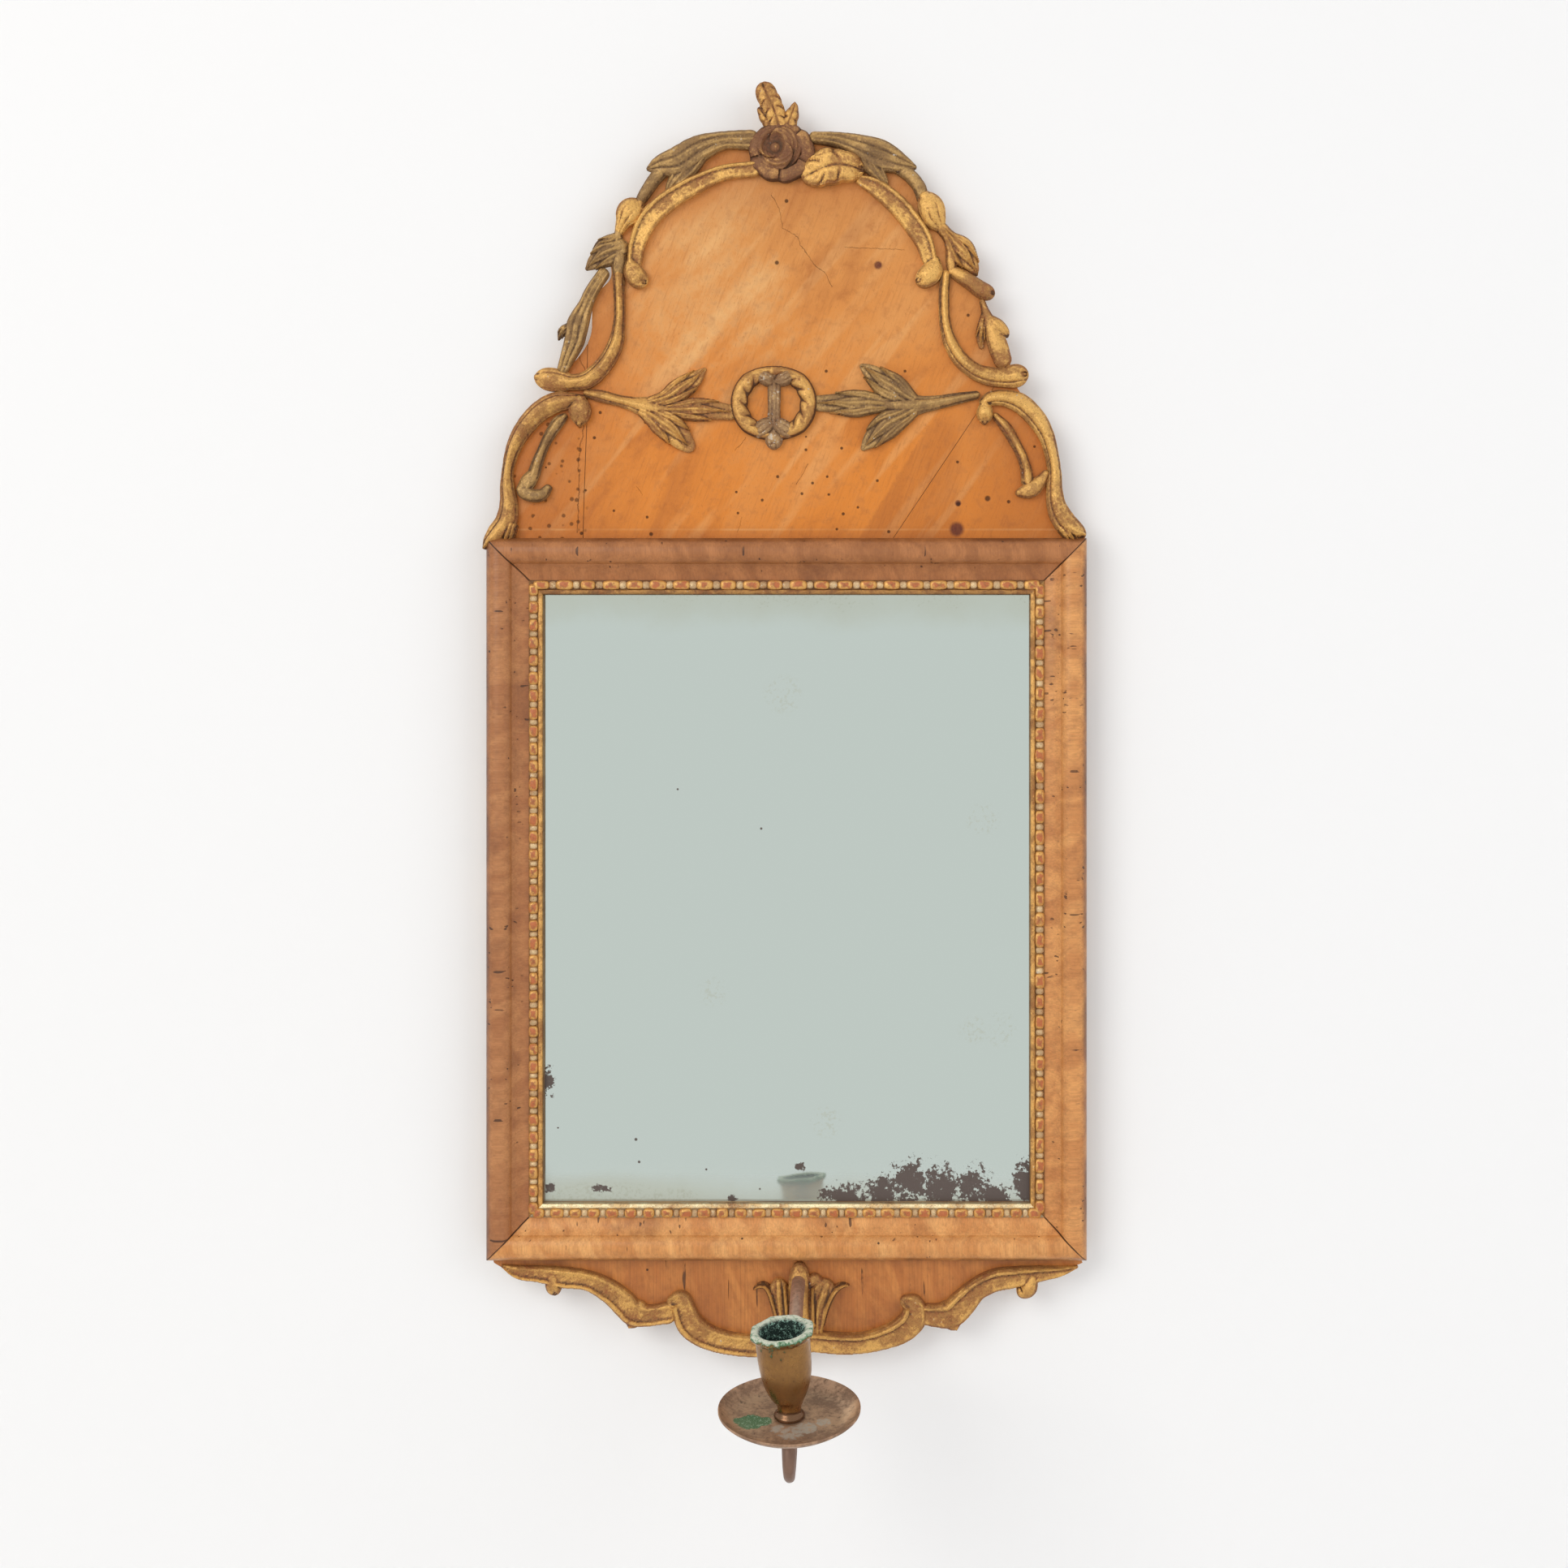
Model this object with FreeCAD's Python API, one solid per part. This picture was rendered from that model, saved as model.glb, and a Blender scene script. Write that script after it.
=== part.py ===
"""Girandole wall mirror: a veneered frame with a fretted crest, gilt carving and one candle arm.

Millimetres. X to the right as seen from the front, -Y out towards the room, +Z up.
The origin is the middle of the hanger hole where it opens onto the wall plane (Y = 0).
"""
import FreeCAD, Part
import math
import os

# ---------------------------------------------------------------- driving dimensions
frame_width = 372.0
frame_height = 447.5
hanger_drop = 181.0              # hanger hole down to the top edge of the frame
drawn_width = 372.0              # width the carving tables below were drawn for

batten_thick = 8.0               # battens stand between the wall and the boards
board_thick = 8.0
veneer_thick = 1.0

rail_width = 26.0                # moulded face of each rail
sight_width = 9.0                # beaded sight strip inside the moulding
rail_edge_depth = 12.0           # outer edge of a rail, back to front
rail_crown_rise = 9.2            # cushion above the outer edge
rail_crown_at = 9.0              # cushion crown, measured in from the outer edge
cove_depth = 0.5                 # inner end of the moulding below the outer edge
lip_thick = 2.0
rebate_cover = 6.0               # how far the lip covers the glass
rebate_depth = 8.0

glass_thick = 2.6
tin_thick = 0.4
backboard_thick = 6.0
backboard_lap = 14.0
backboard_gap = 0.6
wedge_size = 14.0

strip_bed = 2.6
strip_bed_width = 6.0
strip_fillet = 3.0
bead_high = 2.2
bead_wide = 4.8
pearl_wide = 2.2
top_beads = 22
bottom_beads = 28
left_beads = 36
right_beads = 31
bead_fill = 0.6                  # part of each pitch taken by the long bead

mitre_gap = 0.15
crack = 0.4                      # open joint between veneer leaves

hanger_hole = 4.0                # radius
hanger_pocket = 7.0
plate_width = 62.0
plate_height = 22.0
plate_thick = 2.5

nail_radius = 1.0
nail_head = 2.6
nail_head_thick = 0.8
nail_clear = 0.05
backboard_nail_long = 12.0
plate_nail_long = 9.0

arm_x = 7.5
arm_drop = 13.0                  # arm axis below the bottom edge of the frame
tang_side = 6.0
tang_clear = 0.08
tang_length = 16.0
rod_radius = 4.25
rod_clear = 0.09
shoulder_gap = 0.4
arm_reach = 170.0                # wall plane to the candle axis
pan_drop = 41.5                  # pan seat below the bottom edge of the frame
arm_sag = 79.8                   # lowest point of the arm below the frame
arm_thin = 2.9                   # rod radius at the bottom of the bend
droop = 7.0                      # degrees the pan and nozzle tip towards the room
lean = 5.3                       # degrees the nozzle cup leans to the left

spigot_radius = 3.0
spigot_clear = 0.08
collar_radius = 6.2
collar_high = 3.0
pan_radius = 39.0
pan_wall = 1.2
pan_dish = 5.5
pan_floor_radius = 30.0
stack_gap = 0.3
foot_radius = 8.4
foot_high = 2.8
neck_radius = 6.6
neck_high = 6.0
cup_low_radius = 8.0
cup_radius = 14.7
cup_high = 42.5
rim_radius = 17.2
rim_thick = 3.2
candle_radius = 12.3
candle_depth = 27.0
facets = 8

# ---------------------------------------------------------------- carving tables
# Outlines: (across, up) from the middle of the frame's top edge or bottom edge.
# Strands: (across, up, width, rise) along the middle line of each carved stroke.
CREST_OUTLINE = [
    (-184.7, 1.2), (-175.6, 11.3), (-174.6, 26.9), (-173.6, 39.5), (-170.1, 54.2), (-164.5, 66.8),
    (-156, 77.9), (-145.9, 86.9), (-143.4, 95.5), (-135.8, 106.1), (-126.7, 116.7),
    (-121.7, 127.8), (-121.2, 138.9), (-117.1, 153.5), (-109.6, 162.1), (-110.1, 175.2),
    (-106.5, 187.8), (-101.5, 200.4), (-92.9, 207.9), (-83.9, 220.5), (-71.2, 235.2),
    (-54.1, 245.2), (-28.9, 250.3), (-0.7, 252.3), (26.6, 250.3), (53.3, 245.2), (69.9, 234.7),
    (82, 220.5), (89.1, 207.4), (97.7, 190.8), (110.3, 175.2), (115.3, 161.5), (122.4, 145.4),
    (130.9, 122.7), (139.5, 106.6), (143, 94.5), (156.6, 78.4), (165.2, 59.7), (168.7, 40.5),
    (170.8, 22.9), (178.8, 11.3), (185.9, 1.2)
]
APRON_OUTLINE = [
    (-182.2, -3), (-166, -10.6), (-149.9, -14.1), (-129.7, -15.1), (-113.1, -22.7),
    (-101.5, -35.8), (-93.4, -39.9), (-74.3, -36.8), (-65.2, -44.4), (-51.1, -53.5), (-27.4, -58),
    (-0.7, -58.5), (25.6, -56.5), (53.3, -54), (71.9, -48.9), (85.1, -38.8), (104.2, -40.9),
    (112.3, -28.8), (125.4, -18.2), (142.5, -15.7), (161.7, -11.1), (183.9, -3)
]
FINIAL_LEAVES = [
    [(-5.7, 256.3, 17.1, 7), (-7.2, 264.9, 17.1, 8), (-9.7, 274, 15.1, 8), (-12.8, 282.6, 5, 5)],
    [(-0.7, 258.9, 11.1, 6), (-0.7, 270, 9.1, 7), (-3.2, 279.5, 3.5, 4)],
    [(-10.7, 256.8, 6.1, 4), (-14.3, 263.4, 5.5, 5), (-16.8, 268.4, 2.5, 3)],
    [(3.4, 256.8, 8.1, 5), (5.4, 263.4, 6.1, 5), (5.4, 269.4, 3.5, 3)],
]
SIDE_BUD = [
    [(15.5, 226.6, 17.1, 7), (24.5, 227.6, 22.2, 10), (35.6, 229.6, 18.2, 9), (46.2, 230.1, 3, 3)],
]
ACANTHUS_LEFT = [
    [(-22.8, 247.3, 12.1, 6), (-39, 246.8, 11.1, 7), (-54.1, 241.7, 16.1, 8),
     (-67.2, 233.7, 18.2, 8), (-78.3, 231.6, 11.1, 7), (-85.9, 229.6, 2.5, 3)],
    [(-52.1, 240.7, 10.1, 7), (-61.2, 230.6, 13.1, 7), (-69.2, 221.5, 9.1, 6), (-73.8, 214.5, 4, 4)],
    [(-75.3, 230.6, 9.1, 6), (-82.3, 222.6, 8.1, 6), (-88.4, 213.5, 7.1, 6), (-91.4, 208.9, 5.5, 5)],
]
ACANTHUS_RIGHT = [
    [(17.5, 248.8, 7.1, 6), (30.6, 247.3, 9.1, 7), (44.7, 243.2, 14.1, 8), (58.3, 237.7, 18.2, 8),
     (70.9, 232.6, 11.1, 7), (79.5, 230.6, 2.5, 3)],
    [(46.7, 239.7, 8.1, 6), (52.8, 231.6, 11.1, 7), (58.8, 223.6, 7.1, 6), (61.4, 219, 4, 4)],
    [(68.9, 230.1, 7.1, 5), (76, 225.6, 8.1, 6), (82, 218.5, 8.1, 6), (84.5, 211.5, 7.6, 5)],
]
ARCH_RIB_LEFT = [
    [(-20.8, 229.1, 9.1, 6), (-40, 226.6, 9.1, 6), (-59.1, 218, 11.1, 7), (-75.3, 207.9, 12.1, 7),
     (-86.4, 196.8, 12.1, 7), (-92.4, 183.2, 10.1, 7), (-94.4, 171.1, 8.6, 6)],
    [(-97, 172.1, 5, 6), (-94.9, 165.1, 12.1, 8), (-91.9, 161, 12.1, 8), (-88.9, 159, 5, 5)],
]
ARCH_RIB_RIGHT = [
    [(46.2, 222.1, 6.1, 5), (54.8, 218, 10.1, 6), (67.9, 207.4, 12.1, 7), (78, 195.3, 12.1, 7),
     (85.1, 184.2, 11.1, 7), (88.6, 173.1, 9.1, 6)],
    [(92.1, 172.1, 6.1, 6), (90.1, 165.6, 13.1, 8), (86.1, 161.5, 12.1, 8), (82.5, 160, 5, 5)],
]
BUD_LEFT = [
    [(-91.4, 207.4, 6.1, 6), (-97, 202.9, 15.1, 10), (-101, 196.8, 9.6, 8), (-104, 190.3, 5.5, 5)],
]
BUD_RIGHT = [
    [(86.1, 211, 9.1, 7), (89.6, 204.9, 16.1, 10), (91.6, 198.9, 14.1, 9), (95.1, 193.3, 6.1, 5)],
]
LEAF_LEFT = [
    [(-104.5, 187.3, 6.1, 5), (-109.6, 184.2, 8.1, 6), (-115.6, 182.7, 6.1, 6),
     (-120.2, 179.7, 1.5, 2)],
    [(-102.5, 180.7, 11.1, 6), (-110.6, 177.7, 15.1, 7), (-118.1, 172.6, 11.1, 7),
     (-124.2, 167.6, 2.5, 3)],
    [(-104.5, 189.3, 5, 5), (-106, 182.2, 6.1, 5), (-104, 174.2, 8.6, 6), (-104.5, 166.1, 7.6, 6)],
]
LEAF_RIGHT = [
    [(102.2, 166.6, 5.5, 5), (106.7, 163.6, 8.1, 7), (113.8, 159, 9.1, 8), (120.3, 154.5, 10.1, 8),
     (124.4, 152.5, 9.1, 8), (127.4, 152, 4, 4)],
    [(102.2, 165.1, 5, 5), (102.2, 172.1, 7.1, 6), (102.7, 179.2, 8.1, 6)],
    [(96.1, 192.8, 6.6, 5), (101.2, 186.8, 8.1, 6), (108.7, 177.7, 16.1, 8), (115.3, 169.1, 9.1, 6),
     (117.8, 164.1, 2.5, 3)],
]
VINE_LEFT = [
    [(-114.1, 164.1, 7.6, 5), (-120.7, 154, 8.1, 6), (-125.2, 143.9, 9.1, 7),
     (-129.7, 132.8, 13.1, 7), (-131.8, 122.7, 12.1, 7), (-135.8, 112.6, 9.1, 7),
     (-138.8, 105.6, 7.1, 5)],
    [(-134.3, 131.8, 5, 5), (-139.3, 128.3, 5.5, 5), (-141.8, 123.7, 1.5, 2)],
]
VINE_RIGHT = [
    [(121.4, 147.4, 3.5, 4), (123.4, 140.9, 5, 5), (127.4, 130.3, 9.1, 6), (130.9, 120.2, 12.1, 7),
     (134, 111.1, 11.1, 6)],
    [(126.4, 136.8, 4, 5), (130.4, 131.8, 9.1, 7), (134.5, 128.3, 7.1, 6), (137, 125.8, 2, 3)],
    [(122.4, 139.9, 3, 4), (121.4, 132.8, 5, 5), (120.3, 125.2, 6.1, 5), (120.9, 119.2, 3.5, 3)],
]
C_SCROLL_LEFT = [
    [(-104.5, 163.1, 7.6, 6), (-104, 150.5, 7.1, 7), (-104, 135.3, 7.1, 7), (-106.5, 120.2, 9.6, 8),
     (-113.6, 107.6, 10.6, 8), (-123.7, 98.5, 11.1, 8), (-133.8, 97, 10.1, 7), (-140.8, 98, 13.1, 6),
     (-148.4, 99, 14.1, 6), (-153.9, 100, 6.1, 4)],
]
C_SCROLL_RIGHT = [
    [(98.7, 163.1, 6.6, 6), (97.7, 150.5, 7.1, 7), (98.2, 135.3, 7.1, 7), (101.2, 122.7, 8.6, 8),
     (107.2, 112.1, 9.6, 8), (116.3, 104.1, 10.1, 8), (126.4, 100.5, 11.6, 8), (136.5, 100, 12.6, 7),
     (142.5, 101, 14.1, 8), (146.6, 101.5, 6.1, 5)],
]
FOOT_SCROLL_LEFT = [
    [(-127.7, 86.4, 6.1, 6), (-134.8, 85.4, 10.1, 8), (-143.4, 84.4, 12.6, 8),
     (-153.9, 78.4, 12.6, 8), (-163.5, 67.8, 11.1, 8), (-169.6, 56.2, 9.1, 8),
     (-173.1, 43.1, 7.1, 7), (-173.6, 32, 8.6, 7), (-172.6, 20.9, 11.1, 8), (-174.1, 10.8, 13.1, 9),
     (-179.1, 3.2, 13.1, 10), (-184.2, -1.8, 8.1, 10), (-187.7, -5.8, 2.5, 9)],
    [(-171.1, 7.8, 8.1, 8), (-173.1, 1.2, 7.1, 9), (-176.1, -4.3, 2, 9)],
    [(-128.7, 85.4, 7.1, 7), (-128.2, 78.9, 13.6, 9), (-128.7, 71.8, 5, 5)],
]
FOOT_SCROLL_RIGHT = [
    [(122.4, 84.4, 6.1, 6), (127.4, 86.9, 9.1, 8), (136.5, 86.9, 10.6, 8), (145.6, 83.4, 12.1, 8),
     (154.1, 75.3, 12.1, 8), (160.7, 64.7, 10.1, 8), (164.2, 53.1, 8.6, 8), (166.2, 41, 8.6, 7),
     (166.2, 30, 10.1, 7), (167.7, 19.4, 12.1, 8), (172.8, 10.3, 14.1, 9), (179.8, 4.2, 12.1, 10),
     (185.9, 2.2, 5, 9)],
    [(172.8, 6.8, 10.1, 8), (176.8, 0.2, 6.1, 9), (178.8, -2.8, 2, 9)],
    [(122.9, 82.4, 6.1, 7), (122.9, 77.3, 10.1, 9), (122.9, 72.8, 4.5, 5)],
]
BRANCH_LEFT = [
    [(-138.4, 75.4, 4.4, 5), (-142.3, 71.8, 7.6, 6), (-147.9, 63.2, 6.6, 6), (-151.9, 54.7, 6.1, 6),
     (-154.9, 47.1, 7.1, 6), (-157.5, 39, 7.6, 6), (-160.5, 32, 6, 6)],
    [(-156.5, 41.5, 5, 5), (-160, 35.8, 9.6, 6), (-164.3, 30.6, 7, 5)],
    [(-166, 30.2, 4, 5), (-162.4, 28.4, 8.6, 6), (-157, 26.4, 8.1, 7), (-151.8, 27.2, 7.1, 7),
     (-148.4, 31, 5, 5)],
]
BRANCH_RIGHT = [
    [(129.9, 75.8, 4.5, 5), (136.5, 68.3, 7.1, 6), (142, 59.2, 6.6, 6), (146.1, 51.1, 6.6, 6),
     (148.6, 43.1, 7.1, 6), (149.6, 36, 8.1, 6)],
    [(160.7, 40, 5, 5), (156.6, 34.5, 8.1, 6), (151.1, 30, 10.1, 7), (144.5, 28.4, 5, 4)],
]
SPRAY_LEFT = [
    [(-123.7, 90, 5.5, 5), (-115.6, 88.4, 7.6, 6), (-105.5, 85.9, 7.1, 6), (-95.5, 83.4, 9.1, 6),
     (-84.4, 80.9, 13.1, 7), (-72.3, 79.9, 7.1, 5)],
    [(-84.4, 84.4, 7.1, 6), (-75.3, 86.9, 9.6, 7), (-66.2, 92.5, 13.1, 7), (-57.6, 98.5, 11.1, 6),
     (-51.1, 105.1, 2.5, 3)],
    [(-89.4, 79.4, 8.1, 6), (-81.3, 74.8, 13.1, 7), (-72.3, 68.3, 17.1, 8), (-65.7, 62.2, 16.1, 7),
     (-61.2, 57.7, 10.1, 3)],
    [(-79.3, 79.4, 7.1, 5), (-67.2, 79.9, 10.1, 6), (-55.1, 79.9, 14.1, 6), (-45, 79.4, 13.1, 6),
     (-35.5, 78.4, 11.1, 5)],
]
SPRAY_RIGHT = [
    [(117.3, 88.9, 5.5, 5), (106.2, 86.9, 7.1, 6), (96.1, 84.9, 8.1, 6), (86.1, 83.4, 10.1, 6),
     (75, 82.4, 13.1, 7), (60.9, 82.9, 7.1, 5)],
    [(78, 85.4, 9.1, 6), (68.9, 91.5, 15.1, 7), (60.3, 97, 16.1, 7), (52.3, 103.1, 11.1, 6),
     (46.7, 107.1, 3.5, 3)],
    [(78, 79.4, 9.1, 6), (68.9, 73.8, 13.1, 7), (60.3, 68.8, 16.1, 7), (53.3, 62.2, 12.6, 6),
     (47.7, 56.2, 4, 3)],
    [(63.9, 83.4, 8.1, 5), (53.8, 83.9, 12.1, 6), (40.7, 83.9, 16.1, 6), (30.6, 83.9, 13.6, 6),
     (19.5, 83.9, 11.1, 5)],
]
RING_BAR = [
    [(-8.2, 98.5, 8.1, 6), (-8.7, 89.4, 9.1, 7), (-8.7, 80.4, 8.6, 7), (-8.7, 72.3, 8.6, 6)],
    [(-16.8, 100.5, 5, 5), (-12.3, 100, 10.1, 7), (-7.2, 99.5, 9.1, 6)],
    [(-7.2, 99.5, 9.1, 6), (-2.2, 99, 10.1, 7), (2.9, 99.5, 5, 5)],
    [(-18.3, 71.3, 5, 5), (-14.3, 68.3, 11.1, 7), (-8.2, 65.8, 10.1, 6)],
    [(-8.2, 65.8, 10.1, 6), (-3.2, 68.3, 11.1, 7), (0.9, 71.3, 5, 5)],
    [(-8.7, 64.2, 8.1, 6), (-8.7, 60.7, 11.1, 6), (-8.7, 57.2, 5, 3)],
]
APRON_SCROLL_LEFT = [
    [(-176.6, -4.6, 1.5, 3), (-166, -8.1, 7.6, 6), (-153.4, -9.1, 9.1, 7), (-138.3, -11.1, 11.6, 8),
     (-123.2, -13.1, 11.1, 8), (-110.6, -19.2, 13.1, 8), (-101.5, -26.7, 14.6, 8),
     (-94.9, -33.3, 14.1, 8), (-85.4, -34.8, 12.1, 7), (-74.3, -33.3, 12.1, 7)],
    [(-144.9, -11.6, 9.1, 7), (-144.4, -16.7, 10.1, 8), (-143.9, -20.7, 4, 4)],
]
APRON_SCROLL_RIGHT = [
    [(180.3, -5.1, 1.5, 3), (169.3, -7.6, 6.1, 6), (156.6, -9.1, 9.1, 7), (141.5, -11.1, 12.1, 8),
     (128.9, -13.1, 13.1, 8), (117.8, -18.7, 13.1, 8), (109.8, -26.7, 15.6, 8),
     (102.2, -33.8, 16.1, 8), (93.6, -34.8, 14.1, 7), (88.1, -34.3, 13.1, 7)],
    [(151.1, -13.1, 7.1, 7), (149.6, -19.2, 10.1, 8), (147.6, -23.2, 4, 4)],
]
APRON_VOLUTE_LEFT = [
    [(-71.2, -26.2, 6.6, 6), (-65.7, -25.2, 11.1, 8), (-63.7, -31.3, 14.1, 8),
     (-59.7, -40.4, 15.1, 8), (-51.1, -46.9, 14.1, 8), (-40, -50.9, 13.1, 8), (-27.4, -53, 12.6, 8),
     (-12.3, -53.5, 12.6, 8), (-0.7, -53.5, 12.1, 8)],
]
APRON_VOLUTE_RIGHT = [
    [(74, -26.2, 7.1, 6), (79, -28.8, 12.6, 8), (78.5, -36.8, 15.6, 8), (71.4, -43.9, 15.1, 8),
     (59.8, -48.9, 13.1, 8), (45.7, -52, 12.1, 8), (30.6, -52, 12.6, 8), (15.5, -50.9, 12.1, 8),
     (1.4, -52.5, 12.1, 8)],
]
LILY = [
    [(-3.7, -41.9, 12.1, 6), (-5.7, -30.8, 11.1, 8), (-8.7, -22.2, 8.6, 7), (-13.3, -16.7, 4.5, 5),
     (-18.8, -18.2, 1.5, 2)],
    [(18.5, -41.9, 11.1, 6), (20.5, -30.8, 13.1, 8), (24, -22.7, 11.1, 7), (30.6, -16.7, 5.5, 5),
     (38.2, -15.7, 1.5, 2)],
    [(7.9, -44.9, 20.2, 7), (7.9, -32.3, 19.2, 9), (7.9, -18.7, 16.1, 9), (7.9, -9.6, 12.1, 8),
     (7.9, -5.1, 5, 6)],
]

# ---------------------------------------------------------------- derived positions
spread = frame_width / drawn_width
top_z = -hanger_drop
bottom_z = top_z - frame_height
half = frame_width / 2.0
rail_back = -batten_thick
board_front = rail_back - board_thick
face = board_front - veneer_thick
edge_front = rail_back - rail_edge_depth
lip_back = rail_back - rebate_depth
lip_front = lip_back - lip_thick
total_rail = rail_width + sight_width
opening_half = half - total_rail
opening_top = top_z - total_rail
opening_bottom = bottom_z + total_rail
glass_back = lip_back + glass_thick
tin_back = glass_back + tin_thick
arm_z = bottom_z - arm_drop
pan_z = bottom_z - pan_drop


def spot(x, y, z):
    return FreeCAD.Vector(x, y, z)


def block(x0, x1, y0, y1, z0, z1):
    return Part.makeBox(x1 - x0, y1 - y0, z1 - z0, spot(x0, y0, z0))


def slab(points, back, front):
    """Straight-sided plate from (x, z) points, between two Y planes."""
    corners = [spot(x, back, z) for x, z in points]
    outline = Part.makePolygon(corners + [corners[0]])
    return Part.Face(outline).extrude(spot(0, front - back, 0))


def rod(radius, length, at, along):
    return Part.makeCylinder(radius, length, at, along)


def join(shapes):
    whole = shapes[0]
    if len(shapes) > 1:
        whole = shapes[0].multiFuse(shapes[1:])
    return whole.removeSplitter()


def without(shape, others):
    """The shape with the others taken away, crumbs dropped."""
    left = shape
    for other in others:
        if left.BoundBox.intersect(other.BoundBox):
            left = left.cut(other)
    solids = left.Solids
    biggest = max(piece.Volume for piece in solids)
    kept = [piece for piece in solids if piece.Volume > 0.1 * biggest]
    return kept[0] if len(kept) == 1 else Part.makeCompound(kept)


def outline_edge(points, rise_from):
    curve = Part.BSplineCurve()
    curve.interpolate([spot(x * spread, 0.0, rise_from + z) for x, z in points])
    return curve.toShape()


def fretted(points, rise_from, back, front, base_half):
    """Board of the given outline, closed along the frame's edge."""
    curve = outline_edge(points, rise_from)
    first = curve.firstVertex(True).Point
    last = curve.lastVertex(True).Point
    left = spot(-base_half, 0.0, rise_from)
    right = spot(base_half, 0.0, rise_from)
    edges = [Part.makeLine(left, first), curve, Part.makeLine(last, right)]
    edges.append(Part.makeLine(right, left))
    outline = Part.Wire(edges)
    outline.translate(spot(0, back, 0))
    return Part.Face(outline).extrude(spot(0, front - back, 0))


# ---------------------------------------------------------------- carving
SECTION = [(-1.0, 0.0), (-0.84, 0.56), (-0.4, 0.94), (0.4, 0.94), (0.84, 0.56), (1.0, 0.0)]


def stroke(strand, rise_from, sink=0.0):
    """One carved stroke: gouged sections lofted along a smooth line, flat on the boards."""
    middles = [spot(x * spread, face + sink, rise_from + z) for x, z, wide, rise in strand]
    line = Part.BSplineCurve()
    line.interpolate(middles)
    sections = []
    for middle, (x, z, wide, rise) in zip(middles, strand):
        travel = line.tangent(line.parameter(middle))[0]
        side = spot(-travel.z, 0, travel.x).normalize()
        reach = side * (wide / 2.0)
        lift = spot(0, -(rise + sink), 0)
        ring = [middle + reach * across + lift * up for across, up in SECTION]
        sections.append(Part.makePolygon(ring + [ring[0]]))
    return Part.makeLoft(sections, True)


def carving(strands, rise_from):
    return join([stroke(strand, rise_from) for strand in strands])


def turned(profile, at):
    """Solid of revolution about an axis pointing out of the wall; profile is (radius, rise)."""
    points = [spot(radius, -rise, 0) for radius, rise in profile]
    points.append(points[0])
    shape = Part.Face(Part.makePolygon(points)).revolve(spot(0, 0, 0), spot(0, 1, 0), 360)
    shape.translate(at)
    return shape


def make_finial_flower():
    middle = spot(-3.2 * spread, face, top_z + 239.6)
    rim = [(0, 0), (19.6, 0), (20.6, 2.5), (19.8, 5.4), (17.4, 6.6), (15.0, 5.6), (13.6, 3.6),
           (0, 3.6)]
    saucer = turned(rim, middle)
    bloom = [(0, 2.0), (12.4, 2.0), (13.2, 6.0), (11.6, 9.2), (8.8, 10.2), (7.0, 8.0), (5.4, 5.6),
             (0, 4.8)]
    heart = turned(bloom, middle + spot(-2.6, 0, 2.2))
    flower = saucer.fuse(heart)
    nicks = []
    for turn in range(facets):
        angle = math.radians(turn * 360.0 / facets + 12.0)
        out = spot(math.cos(angle), 0, math.sin(angle))
        nicks.append(rod(0.9, 6.0, middle + spot(-2.6, -9.8, 2.2) + out * 8.4, out))
    return flower.cut(Part.makeCompound(nicks)).removeSplitter()


def make_centre_ring():
    middle = spot(-8.0 * spread, face, top_z + 84.0)
    tube = [(16.6, 0), (26.2, 0), (26.0, 3.2), (24.4, 6.4), (21.4, 7.6), (18.4, 6.4), (16.8, 3.2)]
    ring = turned(tube, spot(0, 0, 0))
    squeeze = FreeCAD.Matrix()
    squeeze.A33 = 0.93
    ring = ring.transformGeometry(squeeze)
    ring.translate(middle)
    return ring


# ---------------------------------------------------------------- frame
def rail_point(inward, depth):
    return spot(inward, -depth, 0)


def rail_curve(lower):
    """Moulded face of a rail as (inward, depth) points joined by two arcs."""
    edge = -edge_front - lower
    crown = edge + rail_crown_rise
    foot = edge - cove_depth
    turn_at = rail_width * 0.62
    turn = edge + rail_crown_rise * 0.45
    swell = Part.Arc(rail_point(0, edge), rail_point(rail_crown_at * 0.34, edge + rail_crown_rise * 0.8),
                     rail_point(rail_crown_at, crown)).toShape()
    fall = Part.Arc(rail_point(rail_crown_at, crown),
                    rail_point((rail_crown_at + turn_at) * 0.52, edge + rail_crown_rise * 0.88),
                    rail_point(turn_at, turn)).toShape()
    cove = Part.Arc(rail_point(turn_at, turn),
                    rail_point((turn_at + rail_width) * 0.49, (turn + foot) * 0.5 - 0.9),
                    rail_point(rail_width, foot)).toShape()
    return [swell, fall, cove], edge, foot


def lines(points):
    return [Part.makeLine(rail_point(*a), rail_point(*b)) for a, b in zip(points, points[1:])]


def rail_profile():
    curves, edge, foot = rail_curve(veneer_thick)
    back = -rail_back
    inner = rail_width + sight_width
    rebate = inner - rebate_cover
    rest = [(rail_width, foot), (rail_width, -lip_front), (inner, -lip_front), (inner, -lip_back),
            (rebate, -lip_back), (rebate, back), (0, back), (0, edge)]
    return Part.Wire(curves + lines(rest))


def veneer_profile():
    under, edge, foot = rail_curve(veneer_thick)
    over, edge_over, foot_over = rail_curve(0.0)
    sides = lines([(0, edge), (0, edge_over)]) + lines([(rail_width, foot), (rail_width, foot_over)])
    return Part.Wire(Part.__sortEdges__(under + over + sides))


def strip_profile():
    bed = -lip_front
    fillet_at = rail_width + strip_bed_width
    inner = rail_width + sight_width
    outer = rail_width + 0.1
    ring = [(outer, bed), (inner, bed), (inner, bed + strip_bed), (inner - 0.8, bed + strip_bed + 1.2),
            (fillet_at, bed + strip_bed + 1.2), (fillet_at, bed + strip_bed), (outer, bed + strip_bed),
            (outer, bed)]
    return Part.Wire(lines(ring))


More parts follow.
